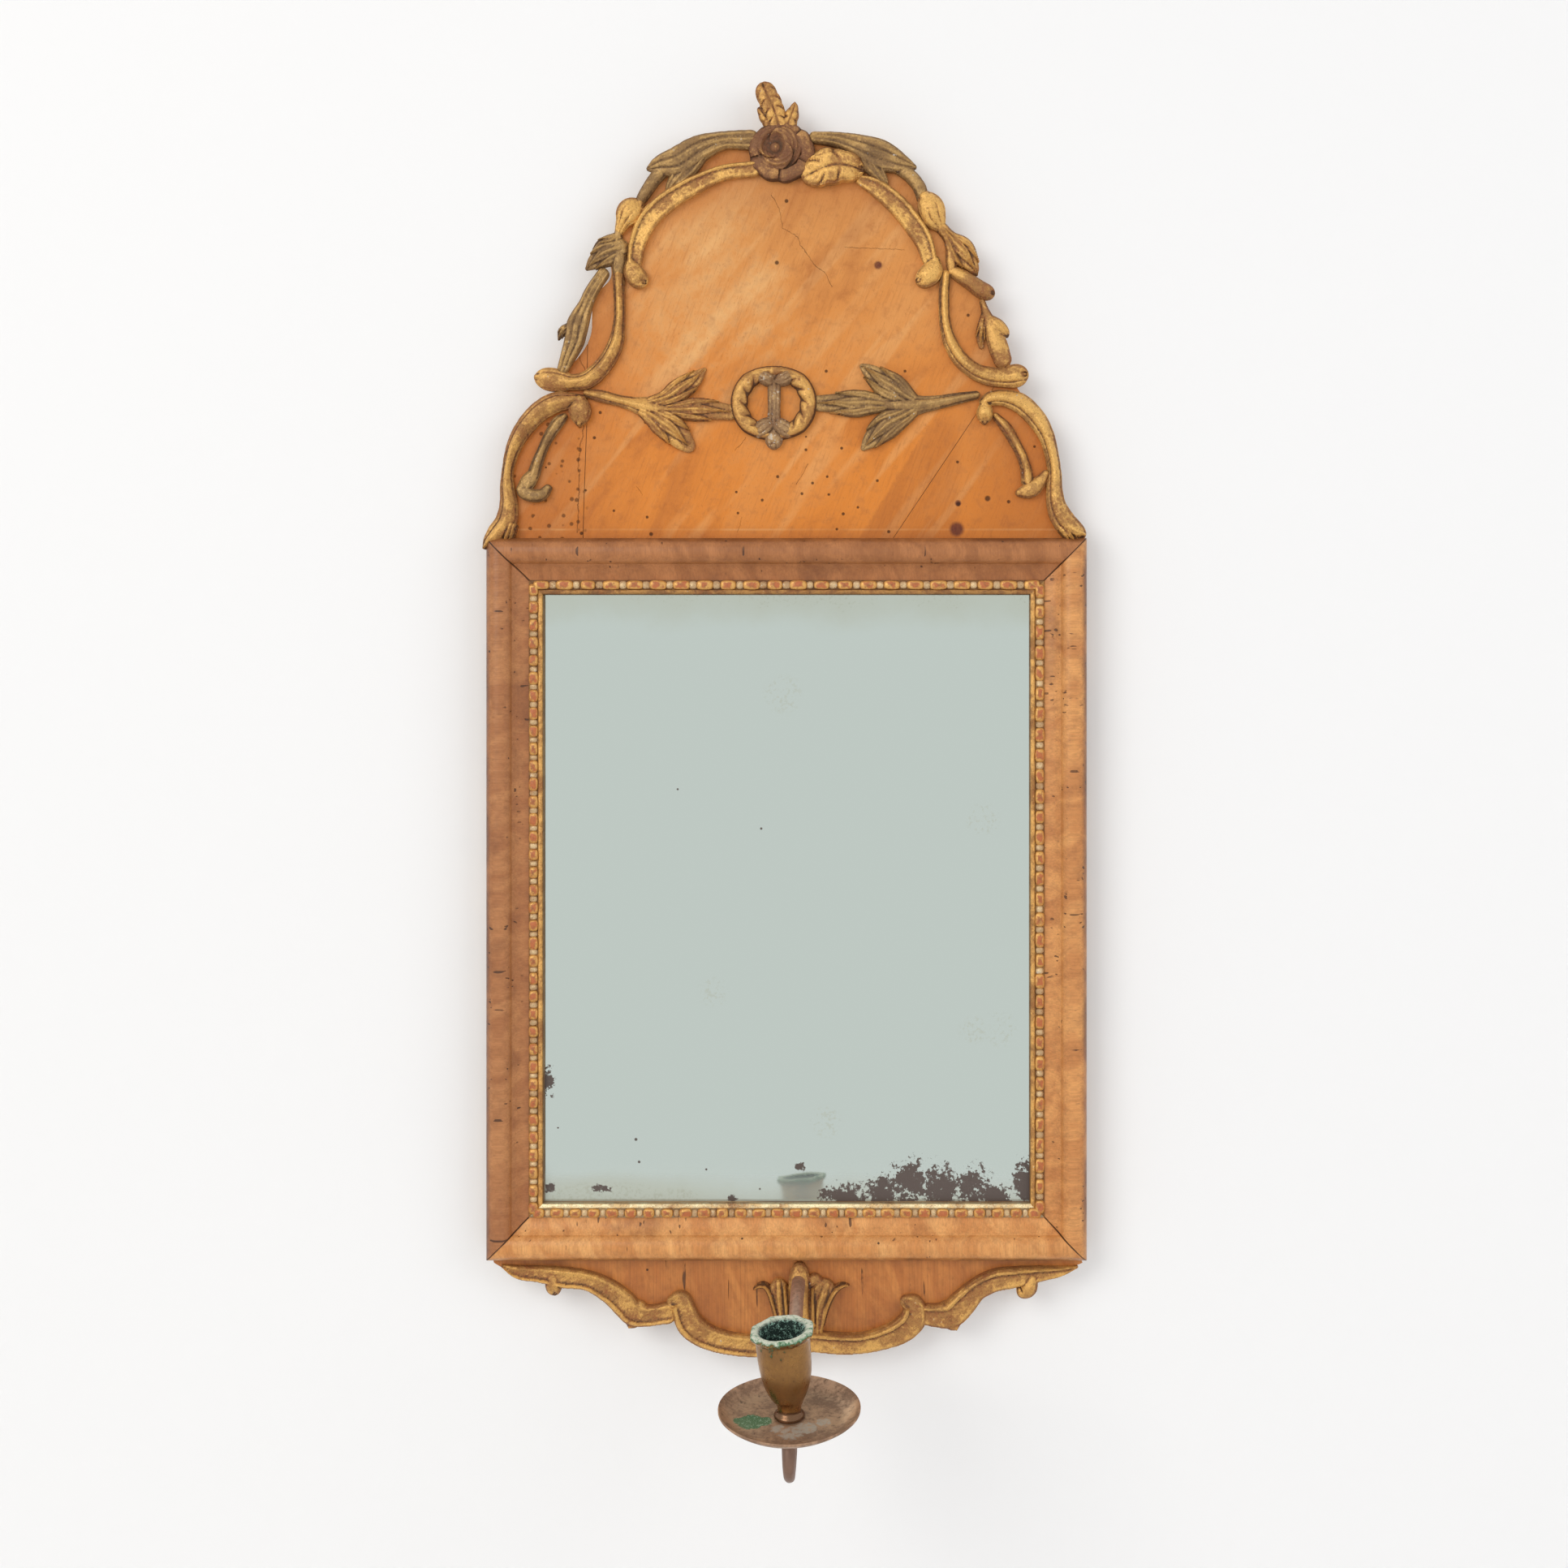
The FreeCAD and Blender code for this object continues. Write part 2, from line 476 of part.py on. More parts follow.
def mitred(profile, length, extras=()):
    """A profile run along +X from the left mitre to the right one, ends cut at 45 degrees."""
    bar = Part.Face(profile).extrude(spot(0, 0, length))
    bar.rotate(spot(0, 0, 0), spot(0, 1, 0), 90)
    if extras:
        bar = bar.multiFuse(list(extras))
    deep = 90.0
    near = mitre_gap
    trim = slab([(near, 0.0), (length - near, 0.0), (length - near - deep, -deep), (near + deep, -deep)],
                20.0, -60.0)
    return bar.common(trim)


def place_side(shape, side):
    """Turn a top-rail piece to its side of the frame."""
    piece = shape.copy()
    if side == "top":
        piece.translate(spot(-half, 0, top_z))
    elif side == "bottom":
        piece.rotate(spot(0, 0, 0), spot(0, 1, 0), 180)
        piece.translate(spot(half, 0, bottom_z))
    elif side == "left":
        piece.rotate(spot(0, 0, 0), spot(0, 1, 0), -90)
        piece.translate(spot(-half, 0, bottom_z))
    else:
        piece.rotate(spot(0, 0, 0), spot(0, 1, 0), 90)
        piece.translate(spot(half, 0, top_z))
    return piece


def side_length(side):
    return frame_width if side in ("top", "bottom") else frame_height


def bead_row(length, count):
    """Long beads and pearls standing on the strip's bed."""
    start = rail_width + 0.6
    run = length - 2.0 * start
    pitch = run / count
    long_bead = pitch * bead_fill
    mid = rail_width + strip_bed_width / 2.0
    base = lip_front - strip_bed
    slope = 0.6
    pieces = []
    for step in range(count):
        at = start + pitch * (step + 0.5)
        low = bead_ring(at, mid, long_bead, bead_wide, base)
        high = bead_ring(at, mid, long_bead - 2 * slope, bead_wide - 2 * slope, base - bead_high)
        pieces.append(Part.makeLoft([low, high], True, True))
        if step < count - 1:
            gap_at = at + pitch / 2.0
            low = bead_ring(gap_at, mid, pearl_wide, pearl_wide, base, 45.0)
            high = bead_ring(gap_at, mid, pearl_wide * 0.5, pearl_wide * 0.5, base - bead_high * 0.6, 45.0)
            pieces.append(Part.makeLoft([low, high], True, True))
    return pieces


def bead_ring(at, inward, long_way, short_way, y, turn=0.0):
    corners = []
    for a, b in ((-1, -1), (1, -1), (1, 1), (-1, 1)):
        corners.append(spot(at + a * long_way / 2.0, y, -inward + b * short_way / 2.0))
    ring = Part.makePolygon(corners + [corners[0]])
    if turn:
        ring.rotate(spot(at, y, -inward), spot(0, 1, 0), turn)
    return ring


def make_sight_strip(side, count):
    length = side_length(side)
    return place_side(mitred(strip_profile(), length, bead_row(length, count)), side)


# ---------------------------------------------------------------- boards and back
def make_crest_board():
    board = fretted(CREST_OUTLINE, top_z, rail_back, board_front, half - 1.0)
    pocket = rod(hanger_pocket, 6.0, spot(0, rail_back + 0.0, 0), spot(0, -1, 0))
    return board.cut(pocket)


def veneer_leaves():
    """Three leaves of the crest veneer with open joints between them."""
    sheet = fretted(CREST_OUTLINE, top_z, board_front, face, half - 1.0)
    low = top_z - 5.0
    high = top_z + 300.0
    left_joint = [(-127.0, low), (-126.0, top_z + 30.0), (-124.5, top_z + 71.0), (-122.0, high)]
    right_joint = [(62.0, low), (66.0, top_z), (115.5, top_z + 74.0), (150.0, top_z + 126.0),
                   (190.0, high)]
    wide = half + 40.0
    left = [(-wide, low)] + [(x * spread - crack / 2.0, z) for x, z in left_joint] + [(-wide, high)]
    right = [(wide, low)] + [(x * spread + crack / 2.0, z) for x, z in right_joint]
    middle = [(x * spread + crack / 2.0, z) for x, z in left_joint]
    middle += [(x * spread - crack / 2.0, z) for x, z in reversed(right_joint)]
    front = face - 1.0
    rear = board_front + 1.0
    return [sheet.common(slab(area, rear, front)) for area in (left, middle, right)]


def square_hole(clear, deep_from, deep_to):
    side = tang_side / 2.0 + clear
    return block(arm_x - side, arm_x + side, deep_to, deep_from, arm_z - side, arm_z + side)


def make_apron_board():
    board = fretted(APRON_OUTLINE, bottom_z, rail_back, board_front, half - 3.0)
    return board.cut(square_hole(tang_clear, rail_back + 1.0, board_front - 1.0))


def make_apron_veneer():
    sheet = fretted(APRON_OUTLINE, bottom_z, board_front, face, half - 3.0)
    return sheet.cut(rod(rod_radius + rod_clear, 4.0, spot(arm_x, face - 1.0, arm_z), spot(0, 1, 0)))


def make_apron_block():
    body = block(arm_x - 38.0, arm_x + 38.0, rail_back, 0.0, bottom_z - 46.0, bottom_z + 17.0)
    return body.cut(square_hole(tang_clear, 1.0, rail_back - 1.0))


def make_hanger_batten():
    batten = block(-78.0, 78.0, rail_back, 0.0, -16.0, 16.0)
    recess = block(-plate_width / 2.0 - 0.2, plate_width / 2.0 + 0.2, -plate_thick, 1.0,
                   -plate_height / 2.0 - 0.2, plate_height / 2.0 + 0.2)
    pocket = rod(hanger_pocket, batten_thick + 2.0, spot(0, 1.0, 0), spot(0, -1, 0))
    return without(batten, [recess, pocket] + plate_nail_holes())


def make_side_battens():
    """Two upright battens tying the crest to the frame's top rail."""
    battens = [block(x - 11.0, x + 11.0, rail_back, 0.0, top_z - 18.0, -24.0) for x in (-62.0, 62.0)]
    return Part.makeCompound(battens)


def make_hanger_plate():
    plate = block(-plate_width / 2.0, plate_width / 2.0, -plate_thick, 0.0,
                  -plate_height / 2.0, plate_height / 2.0)
    hole = rod(hanger_hole, plate_thick + 2.0, spot(0, 1.0, 0), spot(0, -1, 0))
    return without(plate, [hole] + plate_nail_holes())


def plate_nail_spots():
    return [(-24.0, -5.0), (-24.0, 5.0), (24.0, -5.0), (24.0, 5.0)]


def plate_nail_holes():
    deep = nail_radius + nail_clear
    return [rod(deep, plate_nail_long + 1.0, spot(x, 0.5, z), spot(0, -1, 0))
            for x, z in plate_nail_spots()]


def make_plate_nails():
    nails = []
    for x, z in plate_nail_spots():
        nails.append(rod(nail_radius, batten_thick - 0.5, spot(x, 0.0, z), spot(0, -1, 0)))
    return Part.makeCompound(nails)


def backboard_edges():
    wide = opening_half + backboard_lap
    top = opening_top + backboard_lap
    bottom = opening_bottom - backboard_lap
    return wide, top, bottom


def backboard_nail_spots():
    wide, top, bottom = backboard_edges()
    inset = backboard_lap / 2.0 - 2.0
    x = wide - inset
    spots = [(side * x, top - inset - step * (top - bottom - 2 * inset) / 4.0)
             for side in (-1, 1) for step in range(5)]
    spots += [(across, edge) for across in (-85.0, 85.0) for edge in (top - inset, bottom + inset)]
    return spots


def backboard_nail_holes():
    front = rail_back + backboard_thick
    return [rod(nail_radius + nail_clear, backboard_nail_long + 1.0, spot(x, front + 1.0, z), spot(0, -1, 0))
            for x, z in backboard_nail_spots()]


def make_backboard_nails():
    rear = rail_back + backboard_thick
    nails = []
    for x, z in backboard_nail_spots():
        shank = rod(nail_radius, backboard_nail_long, spot(x, rear, z), spot(0, -1, 0))
        head = rod(nail_head, nail_head_thick, spot(x, rear, z), spot(0, 1, 0))
        nails.append(shank.fuse(head).removeSplitter())
    return Part.makeCompound(nails)


def make_backboard(upper):
    wide, top, bottom = backboard_edges()
    split = (top + bottom) / 2.0 - 12.0
    if upper:
        board = block(-wide, wide, rail_back, rail_back + backboard_thick, split + backboard_gap / 2.0, top)
    else:
        board = block(-wide, wide, rail_back, rail_back + backboard_thick, bottom, split - backboard_gap / 2.0)
    return without(board, backboard_nail_holes())


def make_glass():
    wide = opening_half + rebate_cover - 0.5
    return block(-wide, wide, lip_back, glass_back, opening_bottom - rebate_cover + 0.5,
                 opening_top + rebate_cover - 0.5)


def make_tin():
    wide = opening_half + rebate_cover - 0.5
    return block(-wide, wide, glass_back, tin_back, opening_bottom - rebate_cover + 0.5,
                 opening_top + rebate_cover - 0.5)


def make_glass_wedges():
    """Small blocks between the tinned glass and the backboards, round the rebate."""
    wide = opening_half + rebate_cover - 0.5
    top = opening_top + rebate_cover - 0.5
    bottom = opening_bottom - rebate_cover + 0.5
    places = [(side * (wide - 4.0), z) for side in (-1, 1)
              for z in (top - 70.0, (top + bottom) / 2.0 + 20.0, bottom + 70.0)]
    places += [(x, z) for x in (-70.0, 70.0) for z in (top - 4.0, bottom + 4.0)]
    blocks = []
    for x, z in places:
        across, up = (8.0, wedge_size) if abs(x) > opening_half - 5.0 else (wedge_size, 8.0)
        blocks.append(block(x - across / 2.0, x + across / 2.0, tin_back, rail_back, z - up / 2.0, z + up / 2.0))
    return Part.makeCompound(blocks)


# ---------------------------------------------------------------- candle arm
def tip_axis():
    angle = math.radians(droop)
    return spot(0, -math.sin(angle), math.cos(angle))


def arm_end():
    """Top of the arm's collar, where the pan sits."""
    return spot(arm_x, -arm_reach, pan_z)


def make_arm():
    """Square tang, round rod bent down and up again, collar and spigot."""
    up = tip_axis()
    end = arm_end() - up * collar_high
    low = bottom_z - arm_sag
    shoulder = face - 1.0
    start = shoulder - 20.0

    def bend_at(share_out, share_down, radius):
        """A place on the bend, as shares of its reach beyond the straight root and of its fall."""
        return start - share_out * (arm_reach + start), arm_z - share_down * (arm_z - low), radius

    path = [bend_at(0.0, 0.0, rod_radius), bend_at(0.212, 0.067, 4.1), bend_at(0.432, 0.33, 3.8),
            bend_at(0.621, 0.69, 3.4), bend_at(0.788, 0.937, 3.0), bend_at(0.924, 0.952, arm_thin),
            (end.y - 4.0, low + 12.0, 3.4), (end.y - 0.2 * up.y, end.z - 8.0, 4.3), (end.y, end.z, 4.9)]
    middles = [spot(arm_x, y, z) for y, z, radius in path]
    line = Part.BSplineCurve()
    line.interpolate(middles, InitialTangent=spot(0, -1, 0), FinalTangent=up)
    sections = []
    for middle, (y, z, radius) in zip(middles, path):
        travel = line.tangent(line.parameter(middle))[0]
        sections.append(Part.Wire(Part.makeCircle(radius, middle, travel)))
    bend = Part.makeLoft(sections, True)
    side = tang_side / 2.0
    tang = block(arm_x - side, arm_x + side, shoulder - 0.5, shoulder + tang_length, arm_z - side, arm_z + side)
    root = rod(rod_radius, shoulder - start, spot(arm_x, shoulder, arm_z), spot(0, -1, 0))
    collar = Part.makeCone(4.9, collar_radius, collar_high, end, up)
    stud = rod(spigot_radius, pan_wall + stack_gap + foot_high + 3.0, arm_end(), up)
    return bend.multiFuse([tang, root, collar, stud]).removeSplitter()


def along_tip(shape):
    """Stand an upright turned piece on the pan seat, tipped with the arm's end."""
    piece = shape.copy()
    piece.rotate(spot(0, 0, 0), spot(1, 0, 0), droop)
    piece.translate(arm_end())
    return piece


def spun(points):
    closed = [spot(radius, 0, up) for radius, up in points]
    closed.append(closed[0])
    return Part.Face(Part.makePolygon(closed)).revolve(spot(0, 0, 0), spot(0, 0, 1), 360)


def make_pan():
    gap = stack_gap
    hole = spigot_radius + spigot_clear
    wall = pan_wall
    dish = [(hole, gap), (pan_floor_radius, gap), (pan_radius - 3.0, gap + pan_dish * 0.55),
            (pan_radius, gap + pan_dish), (pan_radius - 0.6, gap + pan_dish + wall),
            (pan_radius - 3.4, gap + pan_dish * 0.55 + wall), (pan_floor_radius - 0.3, gap + wall),
            (hole, gap + wall)]
    return along_tip(spun(dish))


def octagon(radius, centre, axis_turn):
    corners = []
    for step in range(facets):
        angle = math.radians((step + 0.5) * 360.0 / facets)
        corners.append(spot(radius * math.cos(angle), radius * math.sin(angle), 0))
    ring = Part.makePolygon(corners + [corners[0]])
    ring.rotate(spot(0, 0, 0), spot(0, 1, 0), axis_turn)
    ring.translate(centre)
    return ring


def make_nozzle():
    """Foot and neck upright on the pan, cup leaning a little, hollow for the candle."""
    seat = pan_wall + 2.0 * stack_gap
    foot = spun([(0, seat), (foot_radius, seat), (foot_radius, seat + foot_high * 0.5),
                 (neck_radius + 0.6, seat + foot_high), (0, seat + foot_high)])
    neck_top = seat + foot_high + neck_high
    neck = spun([(0, seat + foot_high - 0.2), (neck_radius + 0.4, seat + foot_high - 0.2),
                 (neck_radius, seat + foot_high + neck_high * 0.4),
                 (neck_radius + 1.0, neck_top), (0, neck_top)])
    tilt = math.radians(lean)
    up = spot(-math.sin(tilt), 0, math.cos(tilt))
    base = spot(0, 0, neck_top - 1.0)
    rings = [(cup_low_radius, 0.0), (cup_radius * 0.89, cup_high * 0.31), (cup_radius * 0.985, cup_high * 0.58),
             (cup_radius, cup_high - rim_thick)]
    cup = Part.makeLoft([Part.Wire(Part.makeCircle(radius, base + up * rise, up)) for radius, rise in rings],
                        True, True)
    floor = Part.makeCone(neck_radius + 0.7, cup_low_radius, 1.6, base - up * 1.6, up)
    grown = rim_radius / math.cos(math.radians(180.0 / facets))
    rim = Part.makeLoft([octagon(grown - 1.2, base + up * (cup_high - rim_thick - 0.6), -lean),
                         octagon(grown, base + up * (cup_high - rim_thick * 0.4), -lean),
                         octagon(grown - 0.9, base + up * cup_high, -lean)], True, True)
    bore = rod(candle_radius, candle_depth + 1.0, base + up * (cup_high - candle_depth), up)
    socket = rod(spigot_radius + spigot_clear, foot_high + 3.4, spot(0, 0, seat - 0.4), spot(0, 0, 1))
    body = foot.multiFuse([neck, floor, cup, rim]).removeSplitter()
    return along_tip(body.cut(bore).cut(socket))


# ---------------------------------------------------------------- assembly
def build():
    parts = {}
    nail_holes = backboard_nail_holes()
    rails = {}
    for side in ("top", "bottom", "left", "right"):
        length = side_length(side)
        rails[side] = place_side(mitred(rail_profile(), length), side)
        parts["frame_rail_" + side] = without(rails[side], nail_holes)
        parts["rail_veneer_" + side] = place_side(mitred(veneer_profile(), length), side)
    counts = {"top": top_beads, "bottom": bottom_beads, "left": left_beads, "right": right_beads}
    for side, count in counts.items():
        parts["sight_beading_" + side] = make_sight_strip(side, count)

    parts["crest_board"] = without(make_crest_board(), plate_nail_holes())
    for name, leaf in zip(("left", "middle", "right"), veneer_leaves()):
        parts["crest_veneer_" + name] = leaf
    parts["apron_board"] = make_apron_board()
    parts["apron_veneer"] = make_apron_veneer()
    parts["apron_block"] = make_apron_block()
    parts["hanger_batten"] = make_hanger_batten()
    parts["side_battens"] = make_side_battens()
    parts["hanger_plate"] = make_hanger_plate()
    parts["hanger_nails"] = make_plate_nails()
    parts["mirror_glass"] = make_glass()
    parts["tin_backing"] = make_tin()
    parts["glass_wedges"] = make_glass_wedges()
    parts["backboard_upper"] = make_backboard(True)
    parts["backboard_lower"] = make_backboard(False)
    parts["backboard_nails"] = make_backboard_nails()

    flower = make_finial_flower()
    knots = carving(RING_BAR, top_z)
    ring = without(make_centre_ring(), [knots])
    parts["finial_flower"] = flower
    parts["ring_bar"] = knots
    parts["centre_ring"] = ring
    moulding = [rails[side] for side in ("top", "left", "right", "bottom")]
    moulding += [parts["rail_veneer_" + side] for side in ("top", "left", "right", "bottom")]

    # Earlier pieces lie on top: later ones are cut back to meet them.
    order = [
        ("side_bud", SIDE_BUD, top_z, [flower]),
        ("bud_left", BUD_LEFT, top_z, []),
        ("bud_right", BUD_RIGHT, top_z, []),
        ("c_scroll_left", C_SCROLL_LEFT, top_z, []),
        ("c_scroll_right", C_SCROLL_RIGHT, top_z, []),
        ("arch_rib_left", ARCH_RIB_LEFT, top_z, [flower]),
        ("arch_rib_right", ARCH_RIB_RIGHT, top_z, [flower]),
        ("finial_leaves", FINIAL_LEAVES, top_z, [flower]),
        ("acanthus_left", ACANTHUS_LEFT, top_z, [flower]),
        ("acanthus_right", ACANTHUS_RIGHT, top_z, [flower]),
        ("leaf_left", LEAF_LEFT, top_z, []),
        ("leaf_right", LEAF_RIGHT, top_z, []),
        ("vine_left", VINE_LEFT, top_z, []),
        ("vine_right", VINE_RIGHT, top_z, []),
        ("foot_scroll_left", FOOT_SCROLL_LEFT, top_z, moulding),
        ("foot_scroll_right", FOOT_SCROLL_RIGHT, top_z, moulding),
        ("branch_left", BRANCH_LEFT, top_z, []),
        ("branch_right", BRANCH_RIGHT, top_z, []),
        ("spray_left", SPRAY_LEFT, top_z, [ring]),
        ("spray_right", SPRAY_RIGHT, top_z, [ring]),
        ("apron_scroll_left", APRON_SCROLL_LEFT, bottom_z, moulding),
        ("apron_scroll_right", APRON_SCROLL_RIGHT, bottom_z, moulding),
        ("apron_volute_left", APRON_VOLUTE_LEFT, bottom_z, []),
        ("apron_volute_right", APRON_VOLUTE_RIGHT, bottom_z, []),
    ]
    laid = []
    lily = carving(LILY, bottom_z)
    lily = without(lily, [rod(rod_radius + rod_clear, 40.0, spot(arm_x, 0.0, arm_z), spot(0, -1, 0))])
    lily = without(lily, moulding)
    parts["apron_lily"] = lily
    laid.append(lily)
    for name, strands, rise_from, over in order:
        piece = without(carving(strands, rise_from), list(over) + laid)
        parts[name] = piece
        laid.append(piece)

    parts["candle_arm"] = make_arm()
    parts["drip_pan"] = make_pan()
    parts["candle_nozzle"] = make_nozzle()
    return parts


def main():
    os.makedirs("parts", exist_ok=True)
    for name, shape in build().items():
        shape.exportStep(os.path.join("parts", name + ".step"))


main()
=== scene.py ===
"""Dresses the girandole mirror: veneered frame, fretted crest, gilt carving, foxed plate and one candle arm.

Metres in the row frame: X to the right, -Y out into the room, +Z up, the wall at Y = 0. Tables and dataclass
fields are millimetres, as the maker would write them, and are turned to metres where a mesh is made.
"""

import logging
import math
from collections.abc import Callable
from dataclasses import dataclass, field
from enum import Enum
from functools import reduce

import bpy
import numpy as np
from mathutils import Matrix, Vector

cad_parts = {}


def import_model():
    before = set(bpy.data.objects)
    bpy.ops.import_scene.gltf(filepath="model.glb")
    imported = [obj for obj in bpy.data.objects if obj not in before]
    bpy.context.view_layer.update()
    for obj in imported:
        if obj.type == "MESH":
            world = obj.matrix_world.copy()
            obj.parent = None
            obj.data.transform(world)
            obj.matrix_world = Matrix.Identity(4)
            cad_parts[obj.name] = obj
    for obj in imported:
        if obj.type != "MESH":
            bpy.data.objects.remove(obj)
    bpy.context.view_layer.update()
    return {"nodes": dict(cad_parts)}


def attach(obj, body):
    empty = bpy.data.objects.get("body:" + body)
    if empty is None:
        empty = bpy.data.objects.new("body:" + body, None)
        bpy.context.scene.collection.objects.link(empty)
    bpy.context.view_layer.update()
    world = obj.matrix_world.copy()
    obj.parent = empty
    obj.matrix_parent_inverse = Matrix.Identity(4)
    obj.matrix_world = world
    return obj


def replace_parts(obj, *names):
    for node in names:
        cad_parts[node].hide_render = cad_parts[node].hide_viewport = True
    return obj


log = logging.getLogger("girandole")

MM = 0.001
TOP = -181.0          # top edge of the frame
BOTTOM = -628.5       # bottom edge of the frame
HALF = 186.0          # half the frame's width
FACE = 17.0           # front of the veneers, out from the wall
BACK = FACE - 0.2     # back of the carving, let a little into the veneers

Colour = tuple[float, float, float, float]
Point = tuple[float, ...]


def paint(red: int, green: int, blue: int) -> Colour:
    """A display colour, 0 to 255 a channel, as the linear colour that shaders use."""
    channels = [value / 255.0 for value in (red, green, blue)]
    linear = [v / 12.92 if v <= 0.04045 else ((v + 0.055) / 1.055) ** 2.4 for v in channels]
    return (linear[0], linear[1], linear[2], 1.0)


# ------------------------------------------------------------------------------------------- node writing
def maths(operation: str, swapped: bool = False) -> Callable[..., "Link"]:
    """A method that adds one Math node.

    Args:
        operation: the node's operation.
        swapped: whether the link itself comes second.

    Returns:
        The method, which takes the other values and returns the node's value.
    """
    def write(self: "Link", *others: "Link | float") -> "Link":
        """Adds the node."""
        values = (*others, self) if swapped else (self, *others)
        return self.board.out(self.board.make("ShaderNodeMath", {"operation": operation}, dict(enumerate(values))))

    return write


class Link:
    """An output socket with arithmetic: every operator adds the Math node it needs."""

    def __init__(self, board: "Board", socket: bpy.types.NodeSocket) -> None:
        """Keeps the socket and the board that it is on."""
        self.board = board
        self.socket = socket

    __add__ = __radd__ = maths("ADD")
    __sub__ = maths("SUBTRACT")
    __rsub__ = maths("SUBTRACT", swapped=True)
    __mul__ = __rmul__ = maths("MULTIPLY")
    __truediv__ = maths("DIVIDE")
    __pow__ = maths("POWER")
    __gt__ = maths("GREATER_THAN")
    __lt__ = maths("LESS_THAN")
    __abs__ = maths("ABSOLUTE")
    least = maths("MINIMUM")
    most = maths("MAXIMUM")

    def ramp(self, low: float, high: float, to_low: float = 0.0, to_high: float = 1.0) -> "Link":
        """Smooth step from to_low at low to to_high at high."""
        limits = {"Value": self, "From Min": low, "From Max": high, "To Min": to_low, "To Max": to_high}
        return self.board.out(self.board.make("ShaderNodeMapRange", {"interpolation_type": "SMOOTHSTEP"}, limits))


class Board:
    """Writes nodes into one material's or one Geometry Nodes tree."""

    def __init__(self, tree: bpy.types.NodeTree) -> None:
        """Keeps the tree."""
        self.tree = tree

    def make(self, kind: str, settings: dict | None = None, sockets: dict | None = None) -> bpy.types.Node:
        """Adds one node.

        Args:
            kind: the node's type.
            settings: properties that are set first.
            sockets: values or links by socket name or number.

        Returns:
            The new node.
        """
        node = self.tree.nodes.new(kind)
        for key, value in (settings or {}).items():
            setattr(node, key, value)
        for key, value in (sockets or {}).items():
            if isinstance(value, Link):
                self.tree.links.new(value.socket, node.inputs[key])
            else:
                node.inputs[key].default_value = value
        return node

    def out(self, node: bpy.types.Node, key: str | int = 0) -> Link:
        """One output of a node."""
        return Link(self, node.outputs[key])

    def place(self) -> Link:
        """Object coordinates, which are the row frame's own."""
        return self.out(self.make("ShaderNodeTexCoord"), "Object")

    def split(self, vector: Link) -> tuple[Link, Link, Link]:
        """X, Y and Z of a vector."""
        node = self.make("ShaderNodeSeparateXYZ", None, {0: vector})
        return self.out(node, 0), self.out(node, 1), self.out(node, 2)

    def join(self, x: Link | float, y: Link | float, z: Link | float) -> Link:
        """A vector from three values."""
        return self.out(self.make("ShaderNodeCombineXYZ", None, {0: x, 1: y, 2: z}))

    def mapped(self, vector: Link, scale: Point, lean: float = 0.0, shift: float = 0.0) -> Link:
        """A vector leaned about Y, then scaled and shifted along X and Z."""
        leaned = self.make("ShaderNodeMapping", None, {"Vector": vector, "Rotation": (0.0, lean, 0.0)})
        sockets = {"Vector": self.out(leaned), "Scale": scale, "Location": (shift, 0.0, shift)}
        return self.out(self.make("ShaderNodeMapping", None, sockets))

    def noise(self, vector: Link, scale: float, detail: float = 2.0, rough: float = 0.5, warp: float = 0.0) -> Link:
        """Noise texture, about 0.25 to 0.75."""
        sockets = {"Vector": vector, "Scale": scale, "Detail": detail, "Roughness": rough, "Distortion": warp}
        return self.out(self.make("ShaderNodeTexNoise", None, sockets), 0)

    def drawn(
        self, vector: Link, scale: Point, lean: float = 0.0, detail: float = 4.0, rough: float = 0.6,
        warp: float = 0.0,
    ) -> Link:
        """Noise with its own scale along each axis, leaned about Y."""
        return self.noise(self.mapped(vector, scale, lean), 1.0, detail, rough, warp)

    def cells(self, vector: Link, scale: float) -> tuple[Link, Link]:
        """Voronoi texture: distance to the nearest point, and a random value of its cell."""
        node = self.make("ShaderNodeTexVoronoi", None, {"Vector": vector, "Scale": scale})
        random = self.make("ShaderNodeSeparateColor", None, {0: self.out(node, "Color")})
        return self.out(node, "Distance"), self.out(random, 0)

    def held(self, name: str, key: str = "Fac") -> Link:
        """A value kept on the mesh's points."""
        return self.out(self.make("ShaderNodeAttribute", {"attribute_name": name}), key)

    def mix(self, factor: Link | float, first: Link | Colour, second: Link | Colour) -> Link:
        """Colour between first, at 0, and second, at 1."""
        return self.out(self.make("ShaderNodeMix", {"data_type": "RGBA"}, {0: factor, 6: first, 7: second}), 2)

    def coats(self, colour: Link | Colour, *coats: tuple[Link, Link | Colour]) -> Link:
        """Lays (mask, colour) coats over a colour, one after another."""
        for mask, coat in coats:
            colour = self.mix(mask, colour, coat)
        return colour

    def bump(self, height: Link, reach: float) -> Link:
        """Normal from a height in units of reach metres."""
        return self.out(self.make("ShaderNodeBump", None, {"Height": height, "Distance": reach, "Strength": 1.0}))

    def away(
        self, place: tuple[Link, Link], across: float, up: float, wide: float = 1.0, high: float = 1.0
    ) -> Link:
        """Distance from a point.

        Args:
            place: two coordinate links in metres.
            across: the point's first coordinate, in millimetres.
            up: the point's second coordinate, in millimetres.
            wide: what distances across are divided by.
            high: what distances up are divided by.

        Returns:
            The distance, in metres where nothing divides it.
        """
        dx = (place[0] - across * MM) / wide
        dz = (place[1] - up * MM) / high
        return (dx * dx + dz * dz) ** 0.5

